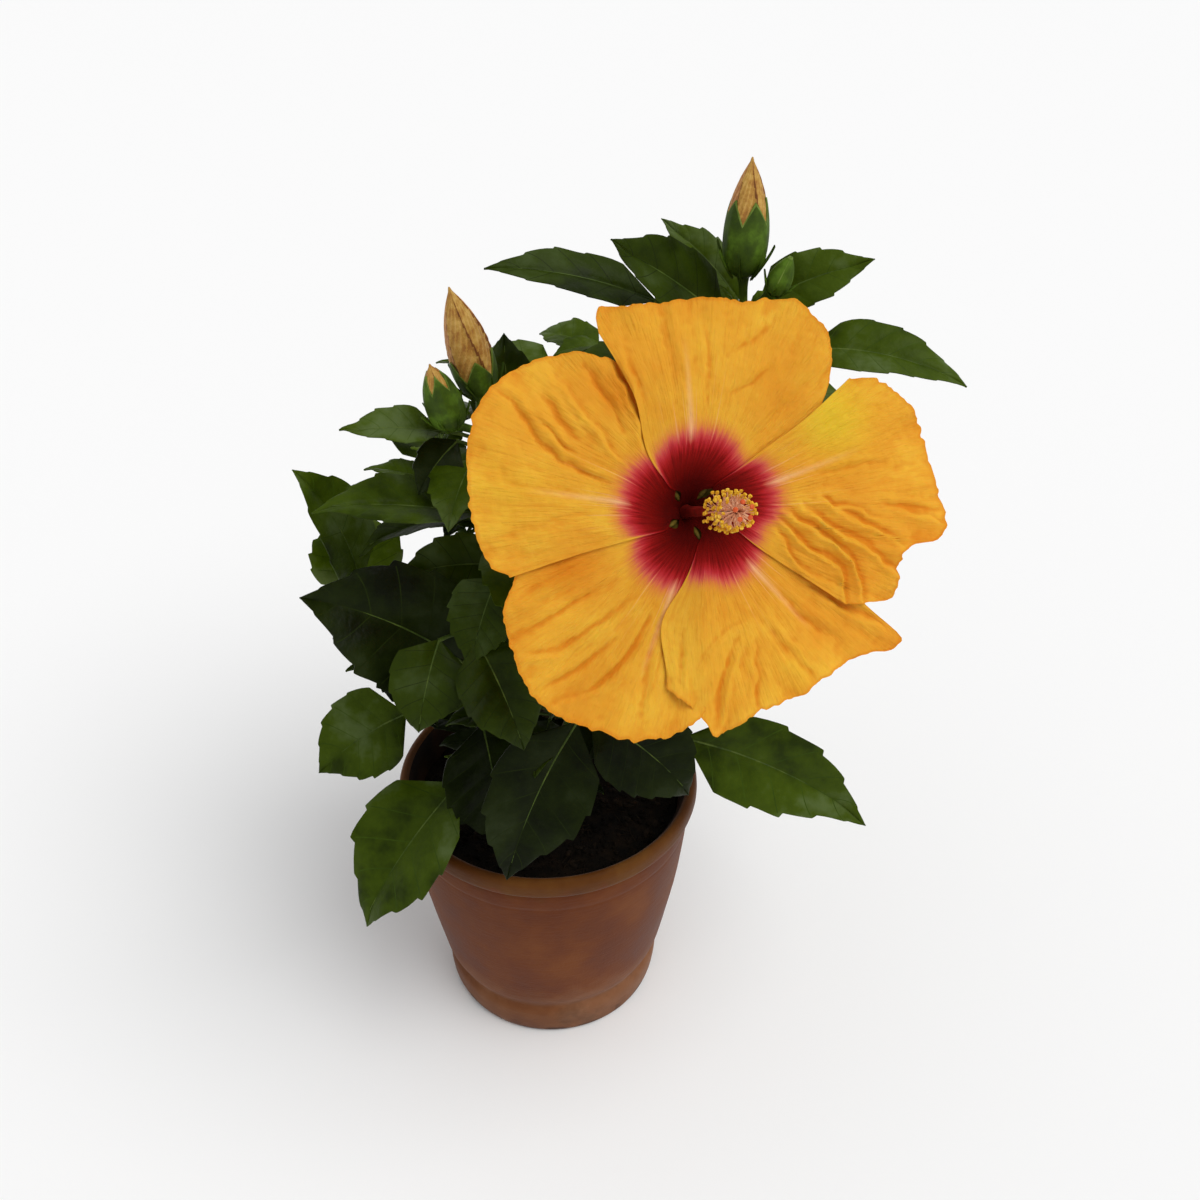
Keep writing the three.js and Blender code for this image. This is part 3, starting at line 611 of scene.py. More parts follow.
def mottled(name, base, shades, size, roughness, grain, depth, specular=0.18):
    """A finish whose colour and gloss drift in patches of one size, over a fine grain."""
    material, surface = new_finish(name, base, Roughness=roughness, Specular_IOR_Level=specular)
    node = partial(add_node, material)
    place = node("TexCoord", out="Object")
    patch = node("TexNoise", {"Vector": place, "Scale": per_metre(size), "Detail": 4.0, "Roughness": 0.6})
    spread = [(0.35 + 0.3 * i / (len(shades) - 1), shade) for i, shade in enumerate(shades)]
    fine = node("TexNoise", {"Vector": place, "Scale": per_metre(grain), "Detail": 3.0})
    looks = {
        "Base Color": node("ValToRGB", [patch], stops=spread),
        "Roughness": node("MapRange", [patch, 0.3, 0.7, roughness - 0.07, roughness + 0.07]),
        "Normal": node("Bump", {"Height": fine, "Strength": 0.5, "Distance": depth}),
    }
    give(material, surface, looks)
    return material


def grown_petal(name, golds, orange, lemon):
    # A petal, grown thin and crinkled: matt golden tissue that fine veins ruck up, a dark wine eye
    # that feathers out along the veins through a coral rim, and pale rays beyond it.
    petal, surface = new_finish(name, "#dfa231", Roughness=0.65, Specular_IOR_Level=0.06)
    glow = {"Subsurface Weight": 0.4, "Subsurface Radius": (1.0, 0.5, 0.15), "Subsurface Scale": 0.0015}
    give(petal, surface, glow)
    node = partial(add_node, petal)
    place = node("TexCoord", out="Object")
    spot = node("UVMap", out="UV", uv_map="petal")
    marks = node("UVMap", out="UV", uv_map="creases")
    aside, out = [node("SeparateXYZ", [spot], axis) for axis in "XY"]
    crease_shade, leaning = [node("SeparateXYZ", [marks], axis) for axis in "XY"]
    fanned = node("Mapping", {"Vector": spot, "Scale": (52, 7, 1)})
    veins = node("TexNoise", {"Vector": fanned, "Scale": 1.0, "Detail": 3.0, "Roughness": 0.6})
    patch = node("TexNoise", {"Vector": place, "Scale": per_metre(24), "Detail": 4.0, "Roughness": 0.6})
    gold = node("ValToRGB", [patch], stops=zip((0.34, 0.5, 0.66), golds))
    # Gold leans to burnt orange in furrows, which is painted shade, and where the tint says so, partly
    # painted shade too; and to lemon in a few places.
    streak = node("MapRange", [veins, 0.5, 0.3, 0.0, 0.35])
    furrow = node("MapRange", [crease_shade, 0.5, 0.95, 0.0, 0.75])
    burnt = node("MapRange", [leaning, 0.5, 0.1, 0.0, 0.8])
    deepest = node("Math", [furrow, burnt], operation="MAXIMUM")
    deeper = node("Math", [deepest, streak], operation="MAXIMUM")
    fresh = node("MapRange", [leaning, 0.5, 0.95, 0.0, 0.9])
    for share, shade in ((deeper, orange), (fresh, lemon)):
        gold = node("Mix", {0: share, 6: gold, 7: colour(shade)}, 2, data_type="RGBA")
    fray = node("Math", [veins, 0.055, -0.0275], operation="MULTIPLY_ADD")
    reach = node("Math", [out, fray], operation="ADD")
    eye = node("ValToRGB", [reach], stops=EYE_RINGS)
    # Between the veins the eye is darker, near black towards the throat.
    sunk = node("MapRange", [veins, 0.56, 0.36, 0.0, 0.36])
    wine = node("Mix", {0: sunk, 6: eye, 7: colour("#360503")}, 2, data_type="RGBA")
    inner = node("MapRange", [reach, 0.24, 0.19])
    streaked = node("Mix", {0: inner, 6: eye, 7: wine}, 2, data_type="RGBA")
    beyond = node("MapRange", [reach, 0.258, 0.31])
    body = node("Mix", {0: beyond, 6: streaked, 7: gold}, 2, data_type="RGBA")
    # The rays: one pale one on the midrib, and thin ones along the stronger veins beside it.
    arc = node("Math", [aside, out], operation="MULTIPLY")
    width = node("Math", [arc], operation="ABSOLUTE")
    middle = node("MapRange", [width, 0.0, 0.008, 1.0, 0.0])
    sharp = node("Mapping", {"Vector": spot, "Scale": (70, 2.2, 1), "Location": (3, 5, 0)})
    threads = node("TexNoise", {"Vector": sharp, "Scale": 1.0, "Detail": 1.0})
    thin = node("MapRange", [threads, 0.62, 0.74, 0.0, 0.7])
    near = node("MapRange", [width, 0.03, 0.09, 1.0, 0.15])
    beside = node("Math", [thin, near], operation="MULTIPLY")
    both = node("Math", [middle, beside], operation="MAXIMUM")
    fade = node("ValToRGB", [reach], stops=RAY_FADE)
    ray = node("Math", [both, fade], operation="MULTIPLY")
    rayed = node("Mix", {0: ray, 6: body, 7: colour("#efb886")}, 2, data_type="RGBA")
    close = node("Mapping", {"Vector": spot, "Scale": (120, 12, 1)})
    ruck = node("TexNoise", {"Vector": close, "Scale": 1.0, "Detail": 3.0})
    crepe = node("TexNoise", {"Vector": place, "Scale": per_metre(2.2), "Detail": 4.0})
    along = node("Bump", {"Height": ruck, "Strength": 0.9, "Distance": 0.0006})
    relief = node("Bump", {"Height": crepe, "Normal": along, "Strength": 0.5, "Distance": 0.0007})
    give(petal, surface, {"Base Color": rayed, "Normal": relief})
    return petal


# What dulls or warms the clay, by height as a share of the pot's.
CLAY_ZONES = (
    (0.0, "#a89c92"), (0.03, "#ffffff"), (0.13, "#fffaf4"), (0.32, "#d9aa64"), (0.9, "#ddb676"),
    (0.94, "#ccbe6c"),
)
# A petal's eye from the throat out, and the rays over its rim, by distance: a quarter at the eye's end.
EYE_RINGS = (
    (0.05, "#5c0904"), (0.1, "#580502"), (0.15, "#740803"), (0.19, "#8c110f"), (0.207, "#a21b1d"),
    (0.22, "#af2429"), (0.232, "#ba3337"), (0.243, "#c34743"), (0.256, "#cf6549"), (0.272, "#d5793d"),
    (0.3, "#d98b3a"),
)
RAY_FADE = ((0.215, "#000000"), (0.262, "#e8e8e8"), (0.34, "#b4b4b4"), (0.56, "#000000"))

CLAY = moulded_terracotta()
# Terracotta, inner wall: the same clay, near black, partly stained by the damp mix and partly painted shade
# inside the pot.
CLAY_INSIDE_SHADED = mottled(
    "terracotta_damp_stain_and_shade", "#1f120a", ["#160c07", "#22140b", "#301c10"], 14, 0.75, 0.9, 0.0002, 0.1
)
# Potting mix, peat and composted bark: near black when damp, with no gloss.
PEAT = mottled(
    "potting_mix_damp_peat", "#100b06", ["#0a0704", "#120d08", "#1c140d"], 5, 0.9, 0.7, 0.0006, 0.08
)
# Composted bark chips and root fibres, torn: a little browner and drier than the peat.
CHIP = mottled("bark_chips_torn", "#1c140d", ["#140e08", "#261b11"], 4, 0.88, 0.8, 0.0004, 0.1)
# Young hibiscus bark, grown: grey brown with green showing through, and faint ridges along it.
BARK = mottled(
    "hibiscus_bark_young", "#4e4430", ["#3e3522", "#584c34", "#6b6048"], 3.5, 0.8, 0.9, 0.0005, 0.15
)
# Green twigs and petioles, grown: smooth and slightly waxy, paler than the leaves.
TWIG = mottled("twig_green_skin", "#40511a", ["#324312", "#45571c", "#5a6a2a"], 6, 0.5, 0.8, 0.0001)
# Mature leaf, upper side: deep green under a waxy skin, whose gloss breaks up in soft patches. The shade
# tone is painted shade, for leaves deep in the plant, and the deep tone is partly painted shade. The
# palest, greyish stop of each is a painted sheen.
LEAF_SHADE = mottled(
    "leaf_upper_shade", "#141c02", ["#0a0f01", "#121a02", "#192203", "#232c12"], 22, 0.4, 2.2, 0.0005, 0.07
)
LEAF_DEEP = mottled(
    "leaf_upper_deep", "#283504", ["#1b2502", "#273403", "#2d3b04", "#3b4920"], 24, 0.4, 2.2, 0.0005, 0.07
)
LEAF_MID = mottled(
    "leaf_upper_mid", "#384705", ["#253202", "#354504", "#3e4f08", "#506030"], 24, 0.42, 2.2, 0.0005, 0.07
)
# Young leaf, upper side: fresher green, softer and less waxy. Its palest, greyish stop is a painted sheen.
LEAF_FRESH = mottled(
    "leaf_upper_fresh", "#415406", ["#2d3d03", "#415405", "#4f630c", "#617038"], 20, 0.46, 2.2, 0.0004, 0.07
)
# Leaf, underside: downy and without gloss.
LEAF_UNDER = mottled(
    "leaf_underside_downy", "#3f4e1c", ["#334214", "#44531f", "#52622a"], 9, 0.75, 0.8, 0.0001, 0.08
)
# Leaf veins, grown: lines let into the blade, of their own green, a paler one on the paler leaves. The
# dark one goes on the shade and deep tones, and so carries their painted shade.
VEIN_DARK = mottled("leaf_vein_dark_green", "#1b2505", ["#182104", "#212c06"], 9, 0.5, 0.6, 0.00005, 0.07)
VEIN = mottled("leaf_vein_green", "#34470a", ["#2d3f08", "#3c500e"], 9, 0.5, 0.6, 0.00005, 0.07)
# Calyx and bracts, grown: yellow green and finely downy.
CALYX_SKIN = mottled("calyx_downy_green", "#384d06", ["#2d4005", "#3b5108", "#527018"], 7, 0.6, 0.7, 0.00012)
# The margins of its lobes, where the skin thins: paler and yellower.
CALYX_MARGIN = mottled(
    "calyx_lobe_margin", "#5c7026", ["#4f641e", "#63782c", "#76883e"], 5, 0.6, 0.7, 0.00012
)
# The calyx's inner side, seen through the slits of the throat: a dull, moist olive.
CALYX_INSIDE = mottled("calyx_inside_moist", "#5f4f1a", ["#4e4014", "#6e5e22"], 2, 0.5, 0.6, 0.0001, 0.1)
# A furled bud's petals: dull orange, brushed with paler and pinker streaks.
FURL_SKIN = mottled("bud_furled_petal", "#ae843a", ["#9b6a30", "#b0853c", "#c29c50"], 3, 0.55, 0.6, 0.0003)
# Two petals of the furl, which show more of their outer side: pinker, with a brown cast.
FURL_BLUSH = mottled(
    "bud_furled_petal_blush", "#b3783e", ["#a86a38", "#b67c42", "#c08c4c"], 3, 0.55, 0.6, 0.0003
)
# The fine veins on both, raised and rubbed paler.
FURL_VEIN = mottled("bud_furled_petal_vein", "#bd9248", ["#b0823a", "#c8a05a"], 3, 0.55, 0.6, 0.0003)
FURL_BLUSH_VEIN = mottled("bud_furled_blush_vein", "#c8935c", ["#bd8450", "#d4a26a"], 3, 0.55, 0.6, 0.0003)
# Where one petal laps the next: a brown line in shade.
FURL_LAP_SHADE = mottled("bud_furled_lap_shade", "#7e4c22", ["#6e3f1c", "#8e5a2c"], 3, 0.65, 0.6, 0.0003)
# The column's skin: wine red, smooth and fleshy.
COLUMN_SKIN = mottled("column_wine_red", "#7a1810", ["#5c0c08", "#8e2018"], 5, 0.5, 0.6, 0.0001)
# Filaments, grown: thin pinkish orange threads.
FILAMENT = mottled("filament_coral_thread", "#e0a07a", ["#d58a60", "#f0c09c"], 2, 0.5, 0.5, 0.00005)
# Anthers, split and shedding: grainy yellow pollen.
POLLEN = mottled(
    "anther_yellow_pollen", "#e2ac2c", ["#cc8c1a", "#e4ae2c", "#f6d054"], 1.6, 0.85, 0.35, 0.0002, 0.1
)
# Stigmas, grown: coral pads with a velvet nap.
STIGMA = mottled("stigma_coral_velvet", "#d4572c", ["#bf4720", "#e06c40"], 1.5, 0.8, 0.3, 0.0002, 0.1)
PETAL_FACE = grown_petal("petal_face_golden", ("#dc962a", "#e2a230", "#e8b038"), "#d07814", "#dcb82e")
PETAL_BACK = grown_petal("petal_back_pale", ("#dca043", "#e0ab4e", "#e6b95e"), "#c4822e", "#dcbb4e")


# The pot and its filling
def wall_outside(share):
    """The wall's plain cone, by share of the way up from the notch over the foot."""
    return mix(POT["waist_radius"], POT["rim_radius"] - POT["band_step"], share)


def wall_inside(z):
    """The inner wall's radius at a height."""
    foot, floor, wall = POT["foot_height"], POT["floor"], POT["wall"]
    if z > foot:
        return wall_outside((z - foot) / (POT["height"] - foot)) - wall + 0.6
    return mix(POT["foot_radius"], POT["waist_radius"] + 0.6, (z - floor) / (foot - floor)) - wall


def near(radius, height, *steps):
    """Corners of a section, by their steps out and up from one place."""
    return [(radius + out, height + up) for out, up in steps]


def pot_profile():
    """The clay's section, from the middle of its underside round the rim to the middle of its floor."""
    rim, high, foot_radius, foot = POT["rim_radius"], POT["height"], POT["foot_radius"], POT["foot_height"]
    band = high - POT["band_height"]
    below_band = band - 2 - foot
    corners = [(0, 0), (20, 0), *near(foot_radius, 0, (-2.4, 0), (-0.8, 0.5), (0, 2.2), (0.8, 6))]
    corners += near(foot_radius, foot, (1.3, -5), (0.9, -2.6))
    corners += near(POT["waist_radius"], foot, (-1.9, -0.6), (-1.8, 0.8), (-0.7, 3.2))
    for z in np.arange(foot + 7, band - 14, 8):
        share = (z - foot) / below_band
        corners.append((wall_outside(share) + 1.4 * math.sin(math.pi * share**1.15), z))
    groove = band - 10
    side = wall_outside((groove - foot) / below_band) + 0.6
    corners += near(side, groove, (-0.35, -1.4), (-0.4, 0), (0, 1.4))
    corners += near(rim - POT["band_step"], band, (-0.4, -3.4), (-0.6, -1.6), (0.4, -0.5))
    corners += near(rim, band, (-0.7, 0.2), (-0.1, 1.6), (0, 4))
    corners += near(rim, high, (-0.1, -2.6), (-0.7, -0.9), (-1.9, -0.1), (-3, -0.1))
    corners += near(rim - POT["wall"], high, (0.1, -1.2))
    corners += [(wall_inside(z), z) for z in (high - 5, 70, 40, foot)]
    return corners + [(r, POT["floor"]) for r in (foot_radius - POT["wall"] - 1, 20, 0)]


def rounded(corners, cuts):
    """Cuts each corner of an open line again and again, which rounds it."""
    line = np.array(corners, float)
    for _ in range(cuts):
        a, b = line[:-1], line[1:]
        cut = np.stack([mix(a, b, 0.25), mix(a, b, 0.75)], axis=1).reshape(-1, 2)
        line = np.vstack([line[:1], cut[1:-1], line[-1:]])
    return line


def build_pot():
    sides = 168
    section = rounded(pot_profile(), 2)[1:-1]
    radius, height = section[:, :1], section[:, 1:]
    turn = around(sides)
    places = about_axis(radius, turn, height)
    wobble = 0.16 * np.sin(2 * turn + 0.4) + 0.1 * np.sin(3 * turn + 2)
    dents = 0.16 * cloud(places, 17, 2) + 0.05 * cloud(places, 4, 3)
    rings = about_axis(radius + (wobble + dents) * smooth(height, 1, 6), turn, height)
    up = section[:, 1]
    inward = (up > POT["floor"] - 1) & (np.arange(len(up)) > np.argmax(up) + 5)
    piece = Piece()
    # The inner wall's faces take the near black finish: damp stain and painted shade.
    finish = np.repeat(inward[:-1].astype(int), sides)
    add_rings(piece, rings, [(0, 0, 0), (0, 0, POT["floor"])], finish, (0, 1))
    drill_drains(piece.make("pot_clay", [CLAY, CLAY_INSIDE_SHADED], "clay", ["pot"], crease=35))


def drill_drains(pot):
    """Cuts the drain holes through the floor."""
    bits = Piece()
    for turn in around(POT["drains"]):
        ends = about_axis(POT["drain_ring"], turn, np.array([-1, 2]) * POT["floor"])
        add_tube(bits, ends, POT["drain_radius"], 24)
    bit = bits.make("drain_bits", [CLAY], "clay", [])
    cut = pot.modifiers.new("drains", "BOOLEAN")
    cut.operation = "DIFFERENCE"
    cut.object = bit
    drilled = bpy.data.meshes.new_from_object(pot.evaluated_get(bpy.context.evaluated_depsgraph_get()))
    pot.modifiers.clear()
    pot.data = drilled
    bpy.data.objects.remove(bit)


def mix_height(x, y):
    """The potting mix's surface, crumbly all over."""
    places = stacked(x, y, 0)
    return MIX["top"] + MIX["lump"] * (0.6 * cloud(places, 9, 4) + 0.4 * cloud(places, 3, 5)) - 0.3


def build_mix():
    sides, rows = 130, 46
    edge = wall_inside(MIX["top"]) - 0.3
    turn = around(sides)
    radius = np.linspace(0.4, edge, rows)[:, None]
    rings = [*about_axis(radius, turn, mix_height(radius * np.cos(turn), radius * np.sin(turn)))]
    foot = POT["floor"] + 0.3
    for z in (80, 50, POT["foot_height"], foot):
        gap = 3.4 if z == foot else 0.4
        rings.append(about_axis(wall_inside(max(z, POT["foot_height"])) - gap, turn, z))
    piece = Piece()
    add_rings(piece, np.array(rings), [(0, 0, MIX["top"]), (0, 0, foot)])
    draw = seeded(51)

    def spot(margin):
        r, a = (edge - margin) * math.sqrt(draw()), 2 * math.pi * draw()
        x, y = r * math.cos(a), r * math.sin(a)
        return np.array([x, y, mix_height(x, y)])

    for _ in range(MIX["crumbs"]):
        size = 0.5 + 1.1 * draw() ** 2
        add_lump(piece, spot(2), size, (1, 0.9, 0.75), draw)
    for _ in range(MIX["chips"]):
        size = 1.4 + 1.6 * draw()
        add_lump(piece, spot(4), size, (1.2, 0.6, 0.28), draw, 1)
    for _ in range(MIX["fibres"]):
        start = spot(7) + 0.4 * UP
        way = direction(360 * draw(), 8 * draw()) * (3 + 5 * draw())
        bend = unit(np.cross(way, UP)) * 3 * (draw() - 0.5) + 0.8 * draw() * UP
        add_tube(piece, bezier(start, start + way / 2 + bend, start + way, shares(6)), 0.16, 4, 1)
    piece.make("potting_mix_peat", [PEAT, CHIP], "potting_mix", ["potting_mix"], crease=80)


# Trunk and boughs
def bark_relief(seed, scale=1.0):
    """Low ridges that run along a limb, with a leaf scar's swelling here and there."""

    def relief(turn, along):
        broad = cloud(about_axis(4, turn, along / 5), 1.6, seed)
        fine = cloud(about_axis(9, turn, along / 2.2), 1.6, seed + 1)
        scars, place = divmod(along + 7 * seed, 17)
        side = np.clip(np.cos(turn - 2.4 * scars), 0, 1)
        return scale * (0.2 * broad + 0.1 * fine + 0.4 * bump(place, 8, 1.3) * (0.4 + 0.6 * side))

    return relief


def build_wood():
    def rooted(turn, along):
        return bark_relief(1)(turn, along) + 0.9 * np.cos(5 * turn + 0.8) * math.exp(-along / 5)

    curve = spline(TRUNK["path"])
    share = shares(60)
    flare = TRUNK["flare"] * np.exp(-share * curve.length / TRUNK["flare_height"])
    piece = Piece()
    add_tube(piece, curve(share), mix(*TRUNK["radii"], share) + flare, 36, relief=rooted)
    piece.make("bark_trunk", [BARK], "bark", ["trunk"], crease=70)
    for number, (name, (path, ends)) in enumerate(BOUGHS.items()):
        curve = spline(path)
        share = shares(int(curve.length / 0.9))
        radii = mix(*ends, share) + 0.5 * np.exp(-share * curve.length / 5)
        piece = Piece()
        add_tube(piece, curve(share), radii, 26, relief=bark_relief(number + 3, 0.7))
        piece.make(f"bark_bough_{name}", [BARK], "bark", [f"bough_{name}"], crease=70)


# Leaves
def ruled_leaves(rule):
    """The rule: leaves in a spiral up the twig, each a golden turn on from the last."""
    seed, count, low, high, start, blade, skip = rule
    draw = seeded(seed)
    for i in range(count):
        a, b, c, d, e = [draw() for _ in range(5)]
        at = mix(low, high, (i + 0.5 * b) / count)
        length = mix(*blade, a)
        heading = start + GOLDEN_TURN * i + 24 * (d - 0.5)
        petiole = (length * mix(0.35, 0.55, c), heading, mix(20, 45, e))
        if i not in skip:
            yield at, petiole, (length, heading, mix(0, 30, c)), 20 * (b - 0.5), 0.64, mix(36, 62, a)


def body_outline(t):
    """The blade's half width from base to tip, as a share of its greatest."""
    widest = LEAF["widest"]
    t = np.clip(t, 0, 1)
    base = np.sin(np.pi / 2 * (t / widest) ** 0.6)
    tip = np.cos(np.pi / 2 * (np.maximum(t - widest, 0) / (1 - widest)) ** 1.15)
    return np.where(t < widest, base, tip * (1 - LEAF["tip"] * smooth(t, 0.62, 0.93)))


# Rows of a blade within one stretch between two side veins, and how far the tooth stands out there.
VEIN_ROWS = ((-0.017, 1.0), (0.017, 0.9), (0.13, 0.05), (0.34, 0.2), (0.58, 0.48), (0.82, 0.8))
BLADE_COLUMNS = (0.012, 0.1, 0.26, 0.44, 0.62, 0.79, 0.92, 1.0)
SMALL_COLUMNS = (0.012, 0.14, 0.36, 0.62, 0.86, 1.0)


def add_blade(piece, base, blade, roll, width, droop, draw, tone):
    """A toothed blade whose side veins run out to the teeth, with the lamina swelling between them."""
    length, way, pitch = blade
    pairs = 6 + int(2.5 * draw()) if length > 25 else 5
    toothed = LEAF["tooth"] * (0.6 + 0.8 * draw())
    steps = VEIN_ROWS if length > 30 else VEIN_ROWS[:3] + VEIN_ROWS[4:]
    rows = [((vein + step) / pairs, tooth, step < 0) for vein in range(1, pairs) for step, tooth in steps]
    s, tooth, on_vein = np.array([(0, 0, 0), *rows, (1, 0, 0)], float).T[..., None]
    grown = smooth(s, 0.08, 0.5)
    across = np.array(BLADE_COLUMNS if length > 34 else SMALL_COLUMNS)
    u = np.concatenate([-across[::-1], across])[None, :]
    far = np.abs(u)
    # Side veins leave the midrib low down and reach the edge further on.
    t = mix(s**1.25, 1 - (1 - s) ** 1.3, far**0.9)
    droop, pitch, way, turn, fold = np.radians([droop, pitch, way, roll, LEAF["fold"]])
    lean = (pitch - droop * t)[..., None]
    heading, level = about_axis(1, way, 0), about_axis(1, way + np.pi / 2, 0)
    run, climb = np.sin(pitch) - np.sin(lean), np.cos(lean) - np.cos(pitch)
    middle = base + length / droop * (run * heading + climb * UP)
    forward = np.cos(lean) * heading + np.sin(lean) * UP
    left = np.cos(turn) * level + np.sin(turn) * np.cross(forward, level)
    up = np.cross(forward, left)
    half = width * length / 2 * body_outline(t) * (1 + toothed * (tooth - 0.4) * grown * far**4)
    half = np.maximum(half, LEAF["petiole_radius"] * (1 - 0.8 * t))
    phase = [6.28 * draw() for _ in range(4)]
    arch = half * (far * np.sin(fold) + 0.1 * (far - far**2))
    swell = 0.55 * np.abs(np.sin(np.pi * s * pairs)) * np.sqrt(far) * (1 - far**3)
    wave = 0.09 * half * np.sin(7 * t + phase[0] + (u > 0) * 2.1) + 0.3 * np.sin(19 * t + phase[1])
    curl = -0.06 * length * smooth(t, 0.75, 1) ** 2 * math.sin(phase[2])
    rise = arch + swell + far**2 * wave + curl + np.where(far < 0.03, -0.25, 0)
    onward = 0.035 * length * tooth * grown * far**6 * (1 - t)
    upper = middle + (u * half * np.cos(fold))[..., None] * left
    upper = upper + rise[..., None] * up + onward[..., None] * forward
    # The shade and deep tones, painted shade in whole or in part, take the dark vein.
    line = 4 if tone < 2 else 5
    finish = np.full((len(s) - 1, u.size - 1), tone)
    finish[on_vein[:-1, 0] > 0] = line
    finish[:, len(across) - 1] = line
    finish[:, [0, -1]] = tone
    under = np.where(finish == line, 5, 6)
    add_sheet(piece, upper, upper - LEAF["thickness"] * up, (finish.ravel(), under.ravel(), tone))
    return middle[:, 0] - 0.4 * up[:, 0]


def add_leaf(leaves, twigs, stem, row, draw, tone):
    at, (petiole, heading, rise), blade, roll, width, *droop = row
    foot = stem(at)
    base = foot + petiole * direction(heading, rise)
    knee = mix(foot, base, 0.5) + LEAF["arch"] * petiole * UP
    spine = add_blade(leaves, base, blade, roll, width, droop[0] if droop else LEAF["droop"], draw, tone)
    rib = spine[1 : int(0.8 * len(spine))]
    along = shares(14)
    swollen = 1 - 0.15 * along + 0.5 * bump(along, 0.02, 0.05) + 0.3 * bump(along, 1, 0.07)
    radius = LEAF["petiole_radius"] * (0.7 + 0.3 * min(1, blade[0] / 45))
    add_tube(twigs, bezier(foot, knee, base, along), radius * swollen, 10)
    add_tube(twigs, np.vstack([base, rib]), np.linspace(0.6 * radius, 0.15, len(rib) + 1), 8)
    for side in (-1, 1):
        add_stipule(twigs, foot, heading + side * 55, draw)


def add_stipule(twigs, foot, heading, draw):
    """A thin pointed bract where a petiole leaves the twig."""
    way = direction(heading, 55 + 20 * draw())
    along = shares(5)[:, None]
    start = foot + 1.2 * direction(heading, 0)
    line = start + along * way * (3.5 + 1.5 * draw()) - 0.5 * along**2 * UP
    add_tube(twigs, line, np.linspace(0.35, 0.06, 5), 4)


def add_side_twig(leaves, twigs, foot, heading, draw, tone, count, longest):
    """Finer growth out of a leaf's axil: a thin twig with its own small spiral of leaves."""
    reach = 10 + 9 * draw()
    heading += 50 * (draw() - 0.5)
    start = foot + direction(heading, 30)
    stem = spline([start, start + reach / 2 * direction(heading, 30), start + reach * direction(heading, 42)])
    add_tube(twigs, stem(shares(9)), np.linspace(0.85, 0.5, 9), 8)
    for i in range(count):
        turn = heading + 70 + GOLDEN_TURN * i
        length = longest - 3.4 * i + 4 * draw()
        petiole = (0.35 * length, turn, 25 + 20 * draw())
        blade = (length, turn, 25 * draw())
        row = (0.4 + 0.6 / count * i, petiole, blade, 30 * (draw() - 0.5), 0.6)
        add_leaf(leaves, twigs, stem, row, draw, tone)


def add_shoot(leaves, twigs, tip, draw, count):
    """The growing tip: small folded leaves round a point."""
    for i in range(count):
        length = 9 - 1.5 * i
        heading = GOLDEN_TURN * i + 90 * draw()
        rise = 40 + 8 * i
        foot = tip - (2.0 - 0.4 * i) * UP
        base = foot + 4 * direction(heading, rise)
        add_tube(twigs, np.linspace(foot, base, 4), 0.4, 6)
        add_blade(leaves, base, (length, heading, rise), 0, 0.5, 30, draw, 3)


def twig_of(mass):
    tip = np.array(BOUGHS[mass["on"]][0][-1], float)
    return spline([tip + 0.9 * unit(np.array(mass["path"][0]) - tip), *mass["path"]])


def build_foliage():
    for number, (name, mass) in enumerate(MASSES.items()):
        draw = seeded(100 + number)
        stem = twig_of(mass)
        leaves, twigs = Piece(), Piece()
        share = shares(max(12, int(stem.length / 1.2)))
        add_tube(twigs, stem(share), mix(1.9, 1.15, share), 16, relief=bark_relief(number + 30, 0.35))
        placed = mass.get("leaves", ())
        for tone, *row in placed:
            add_leaf(leaves, twigs, stem, row, draw, tone)
        # The back has no placed leaves, so its side twigs are fuller, except the one near the left bud.
        growth = (3, 25) if placed or name == "back_left" else (4, 30)
        for row in ruled_leaves(mass["rule"]):
            # Higher up a leaf is younger.
            # Low down the tones come out darker, and the darkest of them are painted shade.
            tone = int(min(2.99, max(0, (stem(1.0)[2] - 150) / 60 + 2.2 * draw() - 0.6)))
            add_leaf(leaves, twigs, stem, row, draw, tone)
            if not name.startswith("top"):
                add_side_twig(leaves, twigs, stem(row[0]), row[1][1], draw, tone, *growth)
        # Where buds stand on the tip there are fewer young leaves, and the front has none.
        add_shoot(leaves, twigs, stem(1.0), draw, {"front": 0, "top_right": 2, "top_left": 2}.get(name, 4))
        finishes = [LEAF_SHADE, LEAF_DEEP, LEAF_MID, LEAF_FRESH, VEIN_DARK, VEIN, LEAF_UNDER]
        leaves.make(f"leaves_{name}", finishes, "leaf", [f"foliage_{name}"])
        twigs.make(f"twigs_{name}", [TWIG], "leaf", [f"foliage_{name}"])


# The bloom
def about_line(foot, onward, side):
    """Places about a line, by turn, distance from the line and share of the way along it."""
    over = np.cross(unit(onward), side)

    def place(turn, radius, share):
        turn, radius, share = [value[..., None] for value in np.broadcast_arrays(turn, radius, share)]
        return foot + share * onward + radius * (np.cos(turn) * side + np.sin(turn) * over)

    return place


AXIS = direction(BLOOM["heading"], BLOOM["rise"])
ABOUT_AXIS = about_line(np.array(BLOOM["throat"]), AXIS, direction(BLOOM["heading"] + 90, 0))


def in_bloom(angle, radius, height):
    """A place from degrees about the bloom's axis, distance from it, and height over the throat."""
    return ABOUT_AXIS(np.radians(angle), radius, height)


def funnel(radius):
    rise = BLOOM["depth"] * (1 - np.exp(-(radius - BLOOM["claw_radius"]) / BLOOM["spread"]))
    return rise - BLOOM["reflex"] * (radius / BLOOM["reach"]) ** 2


def edge_reach(edge, s):
    """The petal's edge through its listed places, with their corners just eased."""
    places, reaches = np.array(edge, float).T
    fine = np.linspace(-1.1, 1.1, 881)
    bell = np.exp(-(np.linspace(-2.5, 2.5, 25) ** 2) / 2)
    line = np.pad(np.interp(fine, places, reaches), 12, mode="edge")
    return np.interp(s, fine, np.convolve(line, bell / bell.sum(), mode="valid"))


def on_petal(angle, radius):
    """A place in the bloom's plan, as it is seen along the axis."""
    return about_axis(radius, np.radians(angle), 0)


